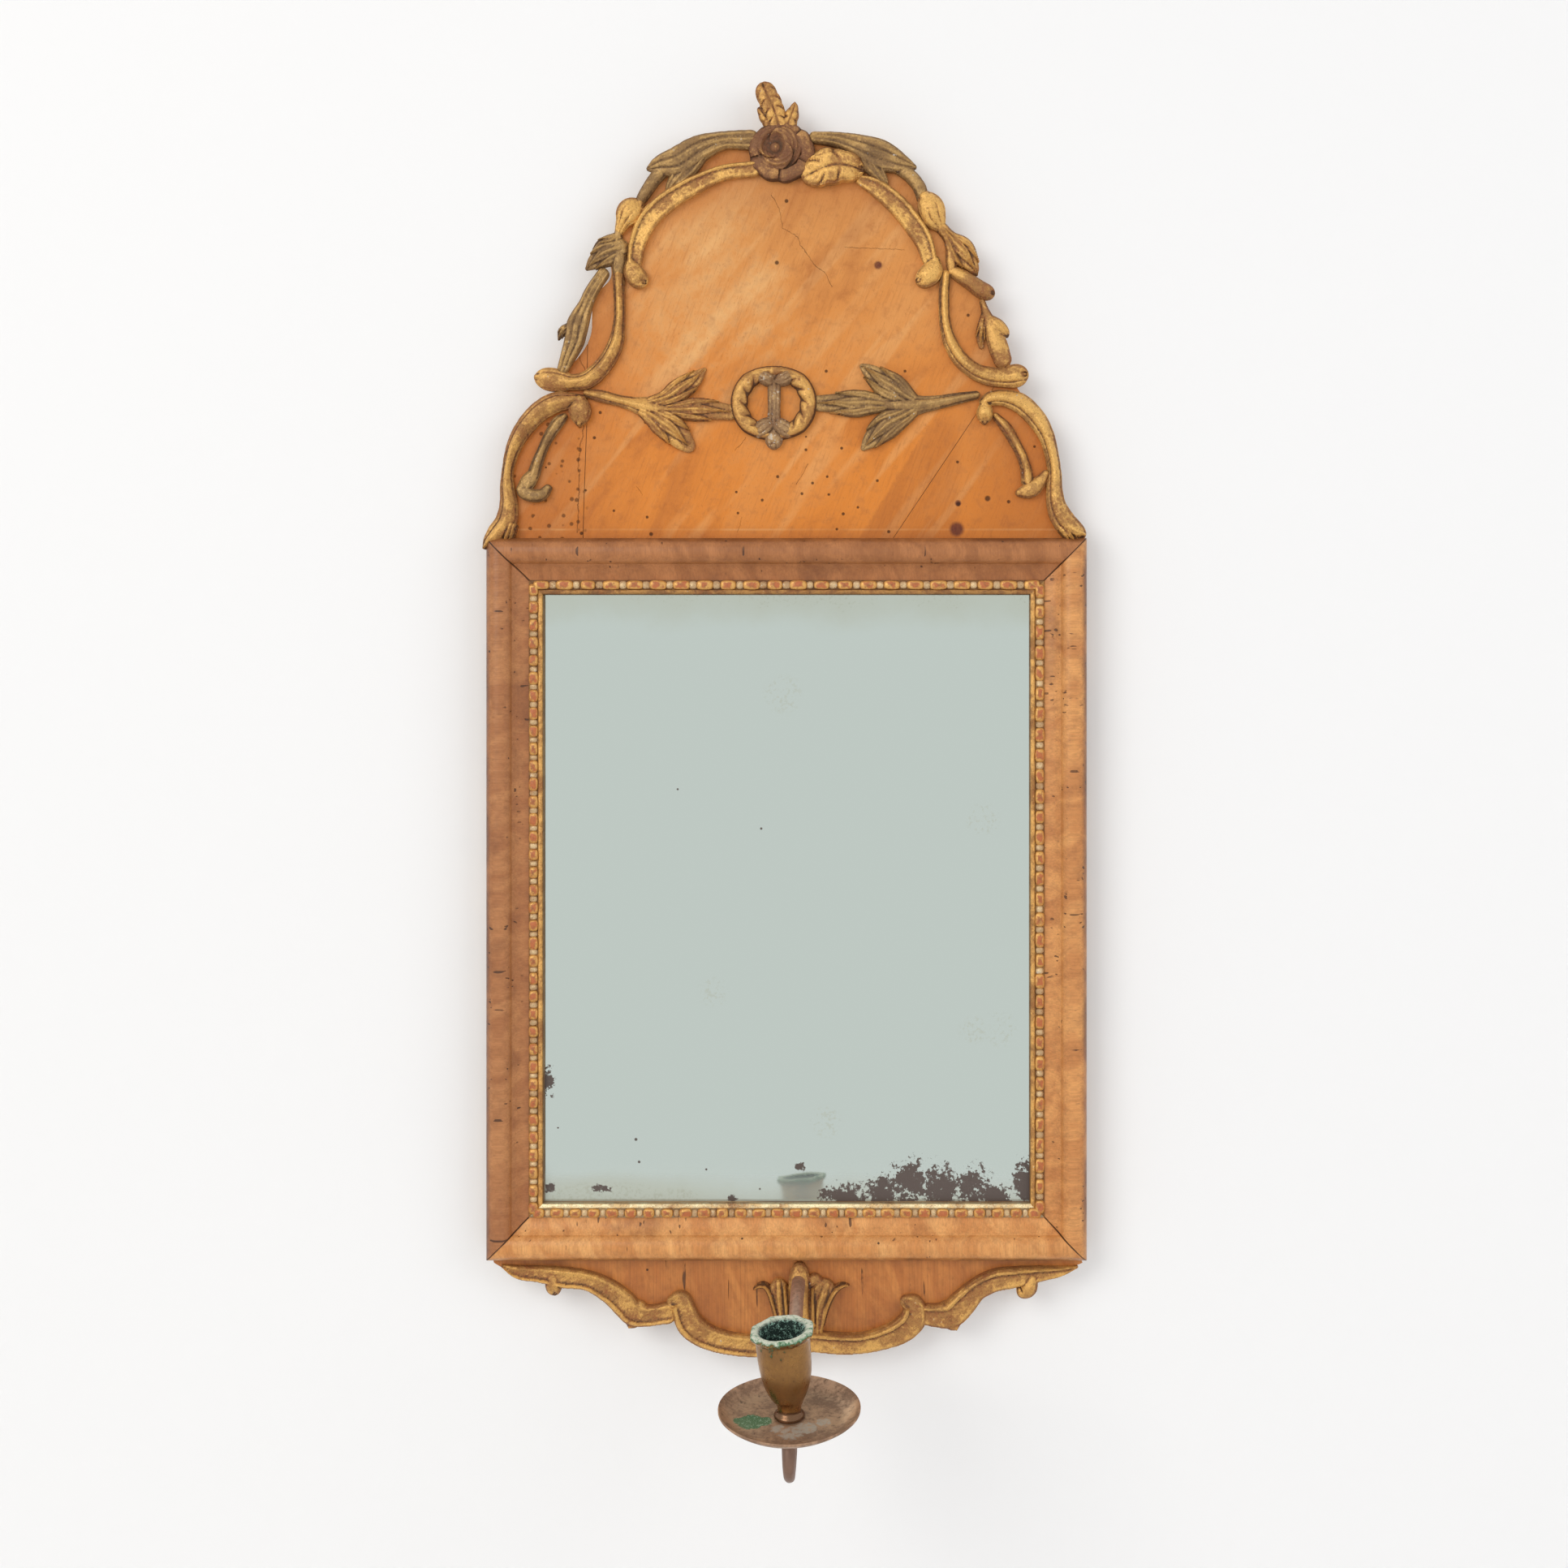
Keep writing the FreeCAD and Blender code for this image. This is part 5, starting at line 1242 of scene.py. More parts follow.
APRON_SCROLL_LEFT = (
    Stroke(Cut.HOLLOW, (
        (-176.6, -4.6, 1.5, 3), (-166, -8.1, 7.6, 6), (-153.4, -9.1, 9.1, 7), (-138.3, -11.1, 11.6, 8),
        (-123.2, -13.1, 11.1, 8), (-110.6, -19.2, 13.1, 8), (-101.5, -26.7, 14.6, 8), (-94.9, -33.3, 14.1, 8),
        (-85.4, -34.8, 12.1, 7), (-74.3, -33.3, 12.1, 7),
    )),
    Stroke(Cut.FLAT, ((-92.6, -32, 13, 6), (-95, -37.4, 9.6, 6), (-97.2, -41.3, 2, 6))),
    Stroke(Cut.ROUND, ((-144.9, -11.6, 9.1, 7), (-144.4, -16.7, 10.1, 8), (-143.9, -20.7, 4, 4))),
)
APRON_SCROLL_RIGHT = (
    Stroke(Cut.HOLLOW, (
        (180.3, -5.1, 1.5, 3), (169.3, -7.6, 6.1, 6), (156.6, -9.1, 9.1, 7), (141.5, -11.1, 12.1, 8),
        (128.9, -13.1, 13.1, 8), (117.8, -18.7, 13.1, 8), (109.8, -26.7, 15.6, 8), (102.2, -33.8, 16.1, 8),
        (93.6, -34.8, 14.1, 7), (88.1, -34.3, 13.1, 7),
    )),
    Stroke(Cut.FLAT, ((99.6, -33, 14, 6), (102.6, -38.4, 10.4, 6), (105.3, -42.4, 2, 6))),
    Stroke(Cut.ROUND, ((152.4, -11.6, 6.4, 7), (150.2, -17.6, 10, 8.6), (146.4, -20.4, 7, 7), (144.2, -17.8, 3, 5))),
)
APRON_VOLUTE_LEFT = (
    Stroke(Cut.HOLLOW, (
        (-71.2, -26.2, 6.6, 6), (-65.7, -25.2, 11.1, 8), (-63.7, -31.3, 14.1, 8), (-59.7, -40.4, 15.1, 8),
        (-51.1, -46.9, 14.1, 8), (-40, -50.9, 13.1, 8), (-27.4, -53, 12.6, 8), (-12.3, -53.5, 12.6, 8),
        (-0.7, -53.5, 12.1, 8),
    )),
)
APRON_VOLUTE_RIGHT = (
    Stroke(Cut.HOLLOW, (
        (74, -26.2, 7.1, 6), (79, -28.8, 12.6, 8), (78.5, -36.8, 15.6, 8), (71.4, -43.9, 15.1, 8),
        (59.8, -48.9, 13.1, 8), (45.7, -52, 12.1, 8), (30.6, -52, 12.6, 8), (15.5, -50.9, 12.1, 8),
        (1.4, -52.5, 12.1, 8),
    )),
)
LILY = (
    Stroke(Cut.FLUTED, (
        (-1.4, -46, 8, 6), (-3.0, -36, 10, 7), (-4.1, -27, 12.4, 7.6), (-4.8, -20, 12.4, 7), (-5.0, -17.4, 10, 6),
    )),
    Stroke(Cut.RIB, (
        (-5.6, -37, 3, 7), (-8.4, -27, 3.8, 8.6), (-10.6, -20, 4, 9), (-13.4, -16.4, 3.8, 8), (-17, -16.4, 3, 6.5),
        (-20.2, -18.6, 1.4, 4),
    )),
    Stroke(Cut.RIB, ((0.2, -36, 3, 8), (-0.4, -26, 3.6, 9.4), (-1.2, -16.6, 3, 8.6))),
    Stroke(Cut.FLUTED, (
        (19.4, -48, 6.5, 6), (19.2, -38, 9, 7.4), (20.0, -29, 13, 8), (22.4, -21.5, 15.6, 7.6), (23.4, -18.6, 13, 6.6),
    )),
    Stroke(Cut.RIB, (
        (22.4, -40, 3, 7.4), (25, -29, 4, 8.8), (28.4, -21.4, 4.4, 9.4), (32, -17.4, 4, 8.4), (35.6, -16.2, 2.8, 6),
        (38.4, -16.4, 1.2, 4),
    )),
    Stroke(Cut.RIB, ((17, -40, 3, 8.4), (16.4, -29, 3.6, 9.6), (16.2, -18.4, 3.4, 8.8))),
    Stroke(Cut.FLAT, ((14.6, -15.4, 5, 5), (17.4, -12.2, 6.4, 5.4), (21, -14.8, 4.6, 4.6))),
    Stroke(Cut.ROUND, (
        (7.9, -44.9, 15, 7), (7.9, -32.3, 14.4, 9), (7.9, -18.7, 13.4, 9), (7.9, -10.4, 12.4, 8), (7.9, -6.4, 9, 6.6),
    )),
)


# ------------------------------------------------------------------------------------- geometry node trees
def bead_tree(material: bpy.types.Material, pearl_material: bpy.types.Material) -> bpy.types.NodeTree:
    """Geometry Nodes for one beaded row: long cushion beads with a small pearl between each pair.

    Args:
        material: finish of the long beads.
        pearl_material: finish of the pearls.

    Returns:
        A tree with the named inputs Count, Start, Pitch, Long, Wide, High, Middle, Seat and Seed. The row runs
        along X, stands out along -Y and has its middle line Middle below Z = 0.
    """
    tree = bpy.data.node_groups.new("beaded_row", "GeometryNodeTree")
    kinds = {"Geometry": "Geometry", "Count": "Int", "Seed": "Int"}
    for name in ("Geometry", "Count", "Start", "Pitch", "Long", "Wide", "High", "Middle", "Seat", "Seed"):
        kind = "NodeSocket" + kinds.get(name, "Float")
        tree.interface.new_socket(name, in_out="INPUT", socket_type=kind)
    tree.interface.new_socket("Geometry", in_out="OUTPUT", socket_type="NodeSocketGeometry")
    board = Board(tree)
    given = tree.nodes.new("NodeGroupInput")
    count, start, pitch, long, wide, high, middle, seat, seed = (board.out(given, number) for number in range(1, 10))

    def step(kind: str, sockets: dict, settings: dict | None = None) -> Link:
        """One node's first output."""
        return board.out(board.make("GeometryNode" + kind, settings, sockets))

    def uneven(least: Point, most: Point, own_seed: Link) -> Link:
        """A random vector for each bead."""
        sockets = {"Min": least, "Max": most, "Seed": own_seed}
        return board.out(board.make("FunctionNodeRandomValue", {"data_type": "FLOAT_VECTOR"}, sockets), 0)

    def row(
        number: Link, first: Link, size: tuple[Link, Link, Link], crease: float, finish: bpy.types.Material,
        own: float,
    ) -> Link:
        """One row of equal beads, each a little turned and sized by hand."""
        cube = step("MeshCube", {"Size": board.join(*size)})
        held = step(
            "StoreNamedAttribute", {"Geometry": cube, "Name": "bead", "Value": step("InputPosition", {})},
            {"data_type": "FLOAT_VECTOR", "domain": "POINT"},
        )
        smooth = step("SubdivisionSurface", {"Mesh": held, "Level": 2, "Edge Crease": crease})
        line = step(
            "MeshLine",
            {"Count": number, "Start Location": board.join(first, seat * -1.0, middle * -1.0),
             "Offset": board.join(pitch, 0.0, 0.0)},
            {"mode": "OFFSET"},
        )
        turn = uneven((-0.05, -0.05, -0.05), (0.05, 0.05, 0.05), seed + own)
        scale = uneven((0.86, 0.88, 0.9), (1.06, 1.04, 1.02), seed + own + 5.0)
        beads = step("InstanceOnPoints", {"Points": line, "Instance": smooth, "Rotation": turn, "Scale": scale})
        shaded = step("SetShadeSmooth", {0: step("RealizeInstances", {0: beads})})
        return step("SetMaterial", {0: shaded, "Material": finish})

    beads = row(count, start, (long, high * 2.0, wide), 0.3, material, 1.0)
    pearl = (pitch * 0.42, high * 1.7, wide * 0.96)
    pearls = row(count - 1.0, start + pitch * 0.5, pearl, 0.15, pearl_material, 2.0)
    joined = board.make("GeometryNodeJoinGeometry")
    for link in (beads, pearls):
        tree.links.new(link.socket, joined.inputs[0])
    end = tree.nodes.new("NodeGroupOutput")
    tree.links.new(joined.outputs[0], end.inputs[0])
    return tree


def grown(name: str, tree: bpy.types.NodeTree, values: dict[str, float], finishes: list) -> bpy.types.Object:
    """Runs a Geometry Nodes tree and keeps its result as a plain mesh.

    Args:
        name: the piece's name.
        tree: the tree.
        values: its named inputs.
        finishes: the materials it sets, in the order of the mesh's slots.

    Returns:
        The linked object.
    """
    seed_mesh = bpy.data.meshes.new(name + "_start")
    holder = placed_object(name + "_start", seed_mesh)
    for finish in finishes:
        seed_mesh.materials.append(finish)
    modifier = holder.modifiers.new("grow", "NODES")
    modifier.node_group = tree
    for item in tree.interface.items_tree:
        if item.item_type == "SOCKET" and item.in_out == "INPUT" and item.name in values:
            modifier[item.identifier] = values[item.name]
    bpy.context.view_layer.update()
    graph = bpy.context.evaluated_depsgraph_get()
    mesh = bpy.data.meshes.new_from_object(holder.evaluated_get(graph))
    mesh.name = name
    holder.modifiers.clear()
    bpy.data.objects.remove(holder)
    return placed_object(name, mesh)


def merged(name: str, pieces: list[bpy.types.Object]) -> bpy.types.Object:
    """Joins pieces into one object."""
    with bpy.context.temp_override(
        active_object=pieces[0], object=pieces[0], selected_objects=pieces, selected_editable_objects=pieces
    ):
        bpy.ops.object.join()
    pieces[0].name = name
    pieces[0].data.name = name
    return pieces[0]


def stand_for(piece: bpy.types.Object, node: str, body: str) -> bpy.types.Object:
    """Puts a piece in place of a CAD node, which is hidden, on a body."""
    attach(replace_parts(piece, node), body)
    return piece


# --------------------------------------------------------------------------------------------- the carving
@dataclass
class Carving:
    """A carved and gilt piece, which stands for the CAD node of its name."""

    name: str
    finish: bpy.types.Material

    def build(self) -> bpy.types.Object:
        """Carves the piece and puts it in place of its node."""
        piece = raise_mesh("carved_" + self.name, self.shell(), self.finish, 50.0)
        log.info("%s: %d points", piece.name, len(piece.data.vertices))
        return stand_for(piece, self.name, "mirror_frame")

    def shell(self) -> Shell:
        """The carved mesh: front, walls and back."""
        raise NotImplementedError


@dataclass
class Ornament(Carving):
    """A piece carved in strokes."""

    strokes: tuple[Stroke, ...]
    rise_from: float = TOP
    seed: int = 1
    cell: float = 0.45

    def shell(self) -> Shell:
        """The carved mesh: front, walls and back."""
        reach = np.vstack([np.array(stroke.points)[:, :3] for stroke in self.strokes])
        pad = reach[:, 2].max() / 2.0 + 3.0
        x, z = grid(reach[:, :2].min(0) - pad, reach[:, :2].max(0) + pad, self.cell)
        height, edge = self._carve(x, z)
        height = height + 0.16 * wavering(x, z, 5.2, self.seed) * (height > 0)
        height = height + 0.08 * wavering(x, z, 2.1, self.seed + 7) * (height > 0)
        held = hollows_and_ridges(height, edge < 1.0, 4, 0.8, 0.7)
        # Painted shade in the hollows is kept faint along the outline.
        held["hollow"] *= 0.22 + 0.78 * np.clip((0.94 - edge) / 0.2, 0.0, 1.0)
        return march(x, z, edge, height, held, self.rise_from)

    def _carve(self, x: np.ndarray, z: np.ndarray) -> tuple[np.ndarray, np.ndarray]:
        """Height and edge measure over the grid."""
        height = np.zeros(x.shape)
        edge = np.full(x.shape, 9.0)
        for number, stroke in enumerate(part for whole in self.strokes for part in whole.parts()):
            table = np.array(stroke.points)
            pad = table[:, 2].max() / 2.0 + 2.0
            close = (
                (x > table[:, 0].min() - pad) & (x < table[:, 0].max() + pad)
                & (z > table[:, 1].min() - pad) & (z < table[:, 1].max() + pad)
            )
            rise, measure = stroke.lay(x[close], z[close], self.seed * 31 + number)
            rise = np.where(measure < 1.0, rise, 0.0)
            height[close] = np.maximum(height[close], rise)
            edge[close] = np.minimum(edge[close], measure)
        return height, edge


@dataclass
class FinialFlower(Carving):
    """The rose on top of the crest: a lobed saucer of outer petals round a hollow bloom."""

    across: float = -3.2
    up: float = 239.6
    saucer: float = 20.4
    bloom_across: float = -5.8
    bloom_up: float = 241.8
    bloom: float = 15.8
    cell: float = 0.4

    def shell(self) -> Shell:
        """The carved mesh: front, walls and back."""
        reach = self.saucer + 3.0
        x, z = grid((self.across - reach, self.up - reach), (self.across + reach, self.up + reach), self.cell)
        height, edge = self._saucer(x, z)
        bloom, wall, hole = self._bloom(x, z)
        height = np.where(wall < 1.0, np.maximum(height, bloom), height)
        height = np.where(edge < 1.0, np.maximum(height, 1.8), 0.0)
        height = height + 0.18 * wavering(x, z, 4.0, 5) * (edge < 1.0)
        # The bloom's hole is added to the hollows, so the gilding paints shade into it.
        held = hollows_and_ridges(height, edge < 1.0, 6, 1.3, 0.9, np.clip(1.0 - hole, 0, 1) * 0.45)
        return march(x, z, edge, height, held)

    def _saucer(self, x: np.ndarray, z: np.ndarray) -> tuple[np.ndarray, np.ndarray]:
        """Height and edge measure of the five outer petals, which roll back at their edges."""
        turn = np.arctan2(z - self.up, x - self.across)
        away = np.hypot(x - self.across, (z - self.up) * 1.1)
        petal = (turn / (2.0 * math.pi) * 5.0 + 0.35) % 1.0
        joint = np.exp(-((np.minimum(petal, 1.0 - petal) / 0.1) ** 2))
        edge = away / (self.saucer * (1.01 + 0.015 * np.cos(9 * turn) - 0.04 * joint))
        roll = 5.2 * np.sqrt(np.clip(1.0 - ((edge - 0.74) / 0.3) ** 2, 0.0, 1.0))
        return np.where(edge > 0.6, 2.4 + roll * (0.7 + 0.3 * petal) - 0.9 * joint, 4.6), edge

    def _bloom(self, x: np.ndarray, z: np.ndarray) -> tuple[np.ndarray, np.ndarray, np.ndarray]:
        """Height of the bloom, its edge measure, and the edge measure of the hollow in it."""
        bx, bz = x - self.bloom_across, z - self.bloom_up
        curl = np.arctan2(bz, bx)
        inner = np.hypot(bx, bz)
        wall = inner / (self.bloom * (0.96 + 0.05 * np.cos(curl - 0.6) + 0.03 * np.cos(3 * curl + 1.0)))
        hollow_x, hollow_z = bx + 2.4, bz - 0.8
        hole = np.hypot(hollow_x, hollow_z * 0.86) / 7.4
        cup = 10.2 * np.sqrt(np.clip(1.0 - np.clip(wall - 0.36, 0.0, 1.0) ** 2 * 2.0, 0.0, 1.0))
        fold = (curl / (2.0 * math.pi) * 3.0 + wall * 1.5 + 0.2) % 1.0
        cup = cup - 2.3 * (1.0 - fold) ** 2.2 * np.clip((wall - 0.34) * 3.0, 0.0, 1.0)
        cup = cup + 0.35 * np.cos(inner * 2.6 - curl * 2.0) * np.clip((wall - 0.4) * 3.0, 0.0, 1.0)
        cup = cup - 4.4 * np.clip(1.0 - hole**2.4, 0.0, 1.0) ** 0.7
        cup = cup + 2.2 * np.clip(1.0 - (np.hypot(hollow_x - 1.2, hollow_z + 1.0) / 3.4) ** 2, 0.0, 1.0)
        return cup, wall, hole


@dataclass
class CentreRing(Carving):
    """The two husk crescents that make the ring in the middle of the crest."""

    across: float = -8.0
    up: float = 84.0
    wide: float = 21.4
    high: float = 19.6
    tube: float = 5.3
    rise: float = 7.2
    cell: float = 0.42

    def shell(self) -> Shell:
        """The carved mesh: front, walls and back."""
        reach = self.wide + self.tube + 2.5
        x, z = grid((self.across - reach, self.up - reach), (self.across + reach, self.up + reach), self.cell)
        dx, dz = x - self.across, z - self.up
        turn = np.arctan2(dz / self.high, dx / self.wide)
        off = np.hypot(dx, dz) - np.hypot(self.wide * np.cos(turn), self.high * np.sin(turn))
        ends = np.clip((np.abs(np.sin(turn)) - 0.72) / 0.28, 0.0, 1.0)
        half = self.tube * (1.0 - 0.35 * ends)
        tooth = np.abs(np.sin(turn * 7.0 + 0.3 * off + 0.4))
        edge = np.abs(off) / half * (1.0 + 0.16 * np.clip(-off / half, 0.0, 1.0) * (1.0 - tooth))
        dome = np.sqrt(np.clip(1.0 - edge**2, 0.0, 1.0))
        gouge = 0.5 * (1.0 - tooth) ** 1.2 * np.clip(-off / half + 0.3, 0.0, 1.0)
        height = self.rise * (0.3 + 0.7 * dome * (1.0 - gouge)) * (1.0 - 0.25 * ends)
        height = (height + 0.16 * wavering(x, z, 5.0, 9)) * (edge < 1.0)
        return march(x, z, edge, height, hollows_and_ridges(height, edge < 1.0, 5, 1.0, 0.9))


def carried(points: np.ndarray, matrix: Matrix) -> np.ndarray:
    """Points moved by a matrix."""
    table = np.array(matrix)
    return points @ table[:3, :3].T + table[:3, 3]


class Side(Enum):
    """The four sides of the frame, in quarter turns from a top rail."""

    TOP = 0
    RIGHT = 1
    BOTTOM = 2
    LEFT = 3

    def length(self) -> float:
        """Outside length of the side."""
        return 2.0 * HALF if self in (Side.TOP, Side.BOTTOM) else TOP - BOTTOM

    def matrix(self) -> Matrix:
        """Takes a piece drawn along a top rail, from X = 0, down from Z = 0, to its side."""
        turn = Matrix.Rotation(math.radians(90.0 * self.value), 4, "Y")
        corner = {
            Side.TOP: (-HALF, TOP), Side.RIGHT: (HALF, TOP), Side.BOTTOM: (HALF, BOTTOM), Side.LEFT: (-HALF, BOTTOM),
        }[self]
        return Matrix.Translation(Vector((corner[0] * MM, 0.0, corner[1] * MM))) @ turn


@dataclass
class SightBeading:
    """The gilt strip round the glass: a bed, a fillet at the glass, and a row of beads and pearls."""

    strips: dict
    bead: bpy.types.Material
    pearl: bpy.types.Material
    rail: float = 26.0
    sight: float = 9.0
    bed_out: float = 20.6
    fillet_out: float = 21.9
    fillet_wide: float = 3.0
    bead_share: float = 0.7392
    bead_wide: float = 6.042
    bead_high: float = 2.7
    bead_middle: float = 3.1
    spacing: float = 1.5
    counts: dict = field(default_factory=lambda: {Side.TOP: 22, Side.BOTTOM: 28, Side.LEFT: 36, Side.RIGHT: 31})

    def build(self) -> None:
        """Builds the four strips."""
        tree = bead_tree(self.bead, self.pearl)
        for side, count in self.counts.items():
            name = "sight_beading_" + side.name.lower()
            bed = self._bed(side)
            start = self.rail + 0.6
            pitch = (side.length() - 2.0 * start) / count
            sizes = {
                "Start": start + pitch / 2.0, "Pitch": pitch, "Long": pitch * self.bead_share, "Wide": self.bead_wide,
                "High": self.bead_high, "Middle": self.rail + self.bead_middle, "Seat": self.bed_out - 0.1,
            }
            values = {key: value * MM for key, value in sizes.items()} | {"Count": count, "Seed": 11 + side.value}
            row = grown("row_" + side.name.lower(), tree, values, [self.bead, self.pearl])
            row.data.transform(side.matrix())
            piece = stand_for(merged("gilt_" + name, [bed, row]), name, "mirror_frame")
            log.info("%s: %d beads", piece.name, count)

    def _bed(self, side: Side) -> bpy.types.Object:
        """The strip under the beads, with a rounded fillet along the glass, mitred at its ends."""
        inner = self.rail + self.sight
        low = inner - self.fillet_wide
        section = [
            (self.rail + 0.1, 18.0), (self.rail + 0.1, self.bed_out - 0.3), (self.rail + 0.5, self.bed_out),
            (low - 0.4, self.bed_out), (low, self.bed_out + 0.3), (low + 0.3, self.fillet_out - 0.25),
            (low + 0.9, self.fillet_out), (inner - 1.3, self.fillet_out), (inner - 0.5, self.fillet_out - 0.35),
            (inner - 0.05, self.bed_out + 0.1), (inner, 18.0),
        ]
        length = side.length()
        steps = int(length / self.spacing)
        points, faces = [], []
        for step in range(steps + 1):
            share = step / steps
            for number, (inward, out) in enumerate(section):
                at = inward + (length - 2.0 * inward) * share
                uneven = 0.09 * math.sin(at * 0.23 + number) + 0.07 * math.sin(at * 0.61 + number * 2.0)
                lift = uneven if 0 < number < len(section) - 1 else 0.0
                points.append((at * MM, -(out + lift) * MM, -inward * MM))
        wide = len(section)
        for step in range(steps):
            for number in range(wide):
                a, b = step * wide + number, step * wide + (number + 1) % wide
                faces.append((a, a + wide, b + wide, b))
        faces.append(tuple(range(wide)))
        faces.append(tuple(range(steps * wide + wide - 1, steps * wide - 1, -1)))
        points = carried(np.array(points), side.matrix())
        return raise_mesh("bed_" + side.name.lower(), Shell(points, faces), self.strips[side], 35.0)


# ------------------------------------------------------------------------------------------ the candle arm
Around = Callable[[int, float, float, np.ndarray], tuple[np.ndarray, np.ndarray]]


@dataclass
class CandleStack:
    """Nozzle and drip pan, turned about the arm's spigot, which tips into the room.

    The nozzle's profile is (radius, up) from its foot up the outside, over the rim and down into the socket. It
    leans from its waist up. The rim's part is by the numbers of the profile's rows.
    """

    brass: bpy.types.Material
    pan_brass: bpy.types.Material
    across: float = 7.5
    out: float = 170.0
    up: float = -670.0
    droop: float = 7.0
    lean: float = 5.3
    lean_from: float = 9.6
    ring_steps: int = 144
    profile: tuple[Point, ...] = (
        (3.1, 1.8), (8.0, 1.8), (8.4, 2.1), (8.5, 2.9), (8.1, 3.8), (7.4, 4.6), (6.8, 5.4), (6.5, 6.8), (6.7, 8.2),
        (7.2, 9.6), (8.0, 11.2), (9.1, 12.8), (10.5, 15.4), (11.9, 18.6), (13.0, 22.4), (13.8, 26.8), (14.3, 31.6),
        (14.6, 36.6), (14.7, 41.4), (14.9, 45.2), (15.3, 47.2), (16.4, 48.4), (17.3, 49.3), (17.7, 50.4),
        (17.3, 51.4), (16.4, 51.9), (15.2, 52.0), (14.0, 51.8), (13.1, 51.3), (12.5, 50.3), (12.3, 48.4),
        (12.1, 45.0), (12.0, 40.0), (11.9, 34.0), (11.7, 28.2), (10.8, 25.2), (6.0, 24.9), (3.1, 24.9),
    )
    leaning: tuple[Point, ...] = ((7, 0.0), (8, 0.1), (9, 0.3), (10, 0.6), (11, 1.0))
    rim: tuple[Point, ...] = (
        (18.999, 0.0), (19, 0.15), (20, 0.5), (21, 0.9), (22, 1.0), (24, 1.0), (25, 0.9), (26, 0.7), (27, 0.4),
        (28, 0.2), (29, 0.1), (29.001, 0.0),
    )
    crusted: tuple[Point, ...] = ((0, 0.0), (17, 0.08), (20, 0.36), (22.5, 0.55), (25, 1.0))
    socket_from: float = 27.5
    pan_top: tuple[Point, ...] = (
        (3.08, 1.5), (9.0, 1.5), (16.0, 1.5), (22.0, 1.5), (27.0, 1.55), (30.0, 1.8), (32.5, 2.9), (35.0, 4.2),
        (37.4, 5.9), (38.4, 6.9),
    )
    pan_under: tuple[Point, ...] = (
        (38.9, 6.6), (38.9, 5.9), (37.6, 4.6), (35.4, 3.0), (32.8, 1.7), (30.0, 0.55), (27.0, 0.35), (22.0, 0.3),
        (16.0, 0.3), (9.0, 0.3), (3.08, 0.3),
    )

    def placed(self, points: np.ndarray) -> np.ndarray:
        """Points upright on the pan seat, in millimetres, taken to the arm's end, in metres."""
        place = Matrix.Translation(Vector((self.across, -self.out, self.up)))
        return carried(points, place @ Matrix.Rotation(math.radians(self.droop), 4, "X")) * MM

    def _sheet(self, rows: list[tuple[float, float, float]], closed: bool, around: Around) -> tuple[np.ndarray, list]:
        """Rings of points with quads between them.

        Args:
            rows: (radius, up, share of the lean) of each ring.
            closed: whether the last ring meets the first.
            around: gives each ring's radii and heights from its number, radius, up and turns.

        Returns:
            The points and the faces.
        """
        turns = np.linspace(0.0, 2.0 * math.pi, self.ring_steps, endpoint=False)
        base = np.array([0.0, 0.0, self.lean_from])
        rings = []
        for number, (radius, up, share) in enumerate(rows):
            reach, lifted = around(number, radius, up, turns)
            ring = np.stack([reach * np.cos(turns), reach * np.sin(turns), lifted], axis=1)
            tilt = math.radians(self.lean) * share
            turn = np.array([[math.cos(tilt), 0.0, -math.sin(tilt)], [0.0, 1.0, 0.0],
                             [math.sin(tilt), 0.0, math.cos(tilt)]])
            rings.append((ring - base) @ turn.T + base)
        faces = []
        steps = self.ring_steps
        for row in range(len(rows) - (0 if closed else 1)):
            first, second = row * steps, ((row + 1) % len(rows)) * steps
            for number in range(steps):
                nxt = (number + 1) % steps
                faces.append((first + number, first + nxt, second + nxt, second + number))
        return np.vstack(rings), faces

    def _rows(self) -> list[tuple[float, ...]]:
        """The nozzle's profile with its rows halved, or in three at the rim: (radius, up, lean share, number)."""
        shares = np.interp(range(len(self.profile)), *zip(*self.leaning))
        outer = [(*row, float(share), float(number)) for number, (row, share) in enumerate(zip(self.profile, shares))]
        rows = []
        for number, (a, b) in enumerate(zip(outer, outer[1:])):
            parts = 3 if number > 17 else 2
            rows += [tuple(p + (q - p) * part / parts for p, q in zip(a, b)) for part in range(parts)]
        return [*rows, outer[-1]]

    def nozzle(self) -> bpy.types.Object:
        """The vase-shaped nozzle with its soft eight-sided rim and crusted socket."""
        rows = self._rows()
        grain = np.random.default_rng(21).normal(size=(len(rows), self.ring_steps))
        for _ in range(2):
            grain = (grain + np.roll(grain, 1, 1) + np.roll(grain, -1, 1)) / 2.2
            grain[1:-1] = (grain[1:-1] + grain[:-2] + grain[2:]) / 2.2

        def around(number: int, radius: float, up: float, turns: np.ndarray) -> tuple[np.ndarray, np.ndarray]:
            """Eight-sided rim, crust inside, and slightly uneven body."""
            at = rows[number][3]
            weight = np.interp(at, *zip(*self.rim))
            sector = (turns + 0.39) % (math.pi / 4.0) - math.pi / 8.0
            reach = radius * (1.0 + weight * 0.8 * (0.955 / np.cos(sector) - 1.0))
            if at > self.socket_from:
                crust = min(1.0, (at - self.socket_from) / 2.0)
                reach = reach - crust * np.clip(0.55 + 0.45 * grain[number], 0.0, 1.6)
            else:
                reach = reach + 0.05 * np.sin(3 * turns + up * 0.3) + weight * 0.1 * grain[number]
            return reach, up + weight * (0.12 * grain[number] + 0.16 * np.sin(4 * turns + 1.0))

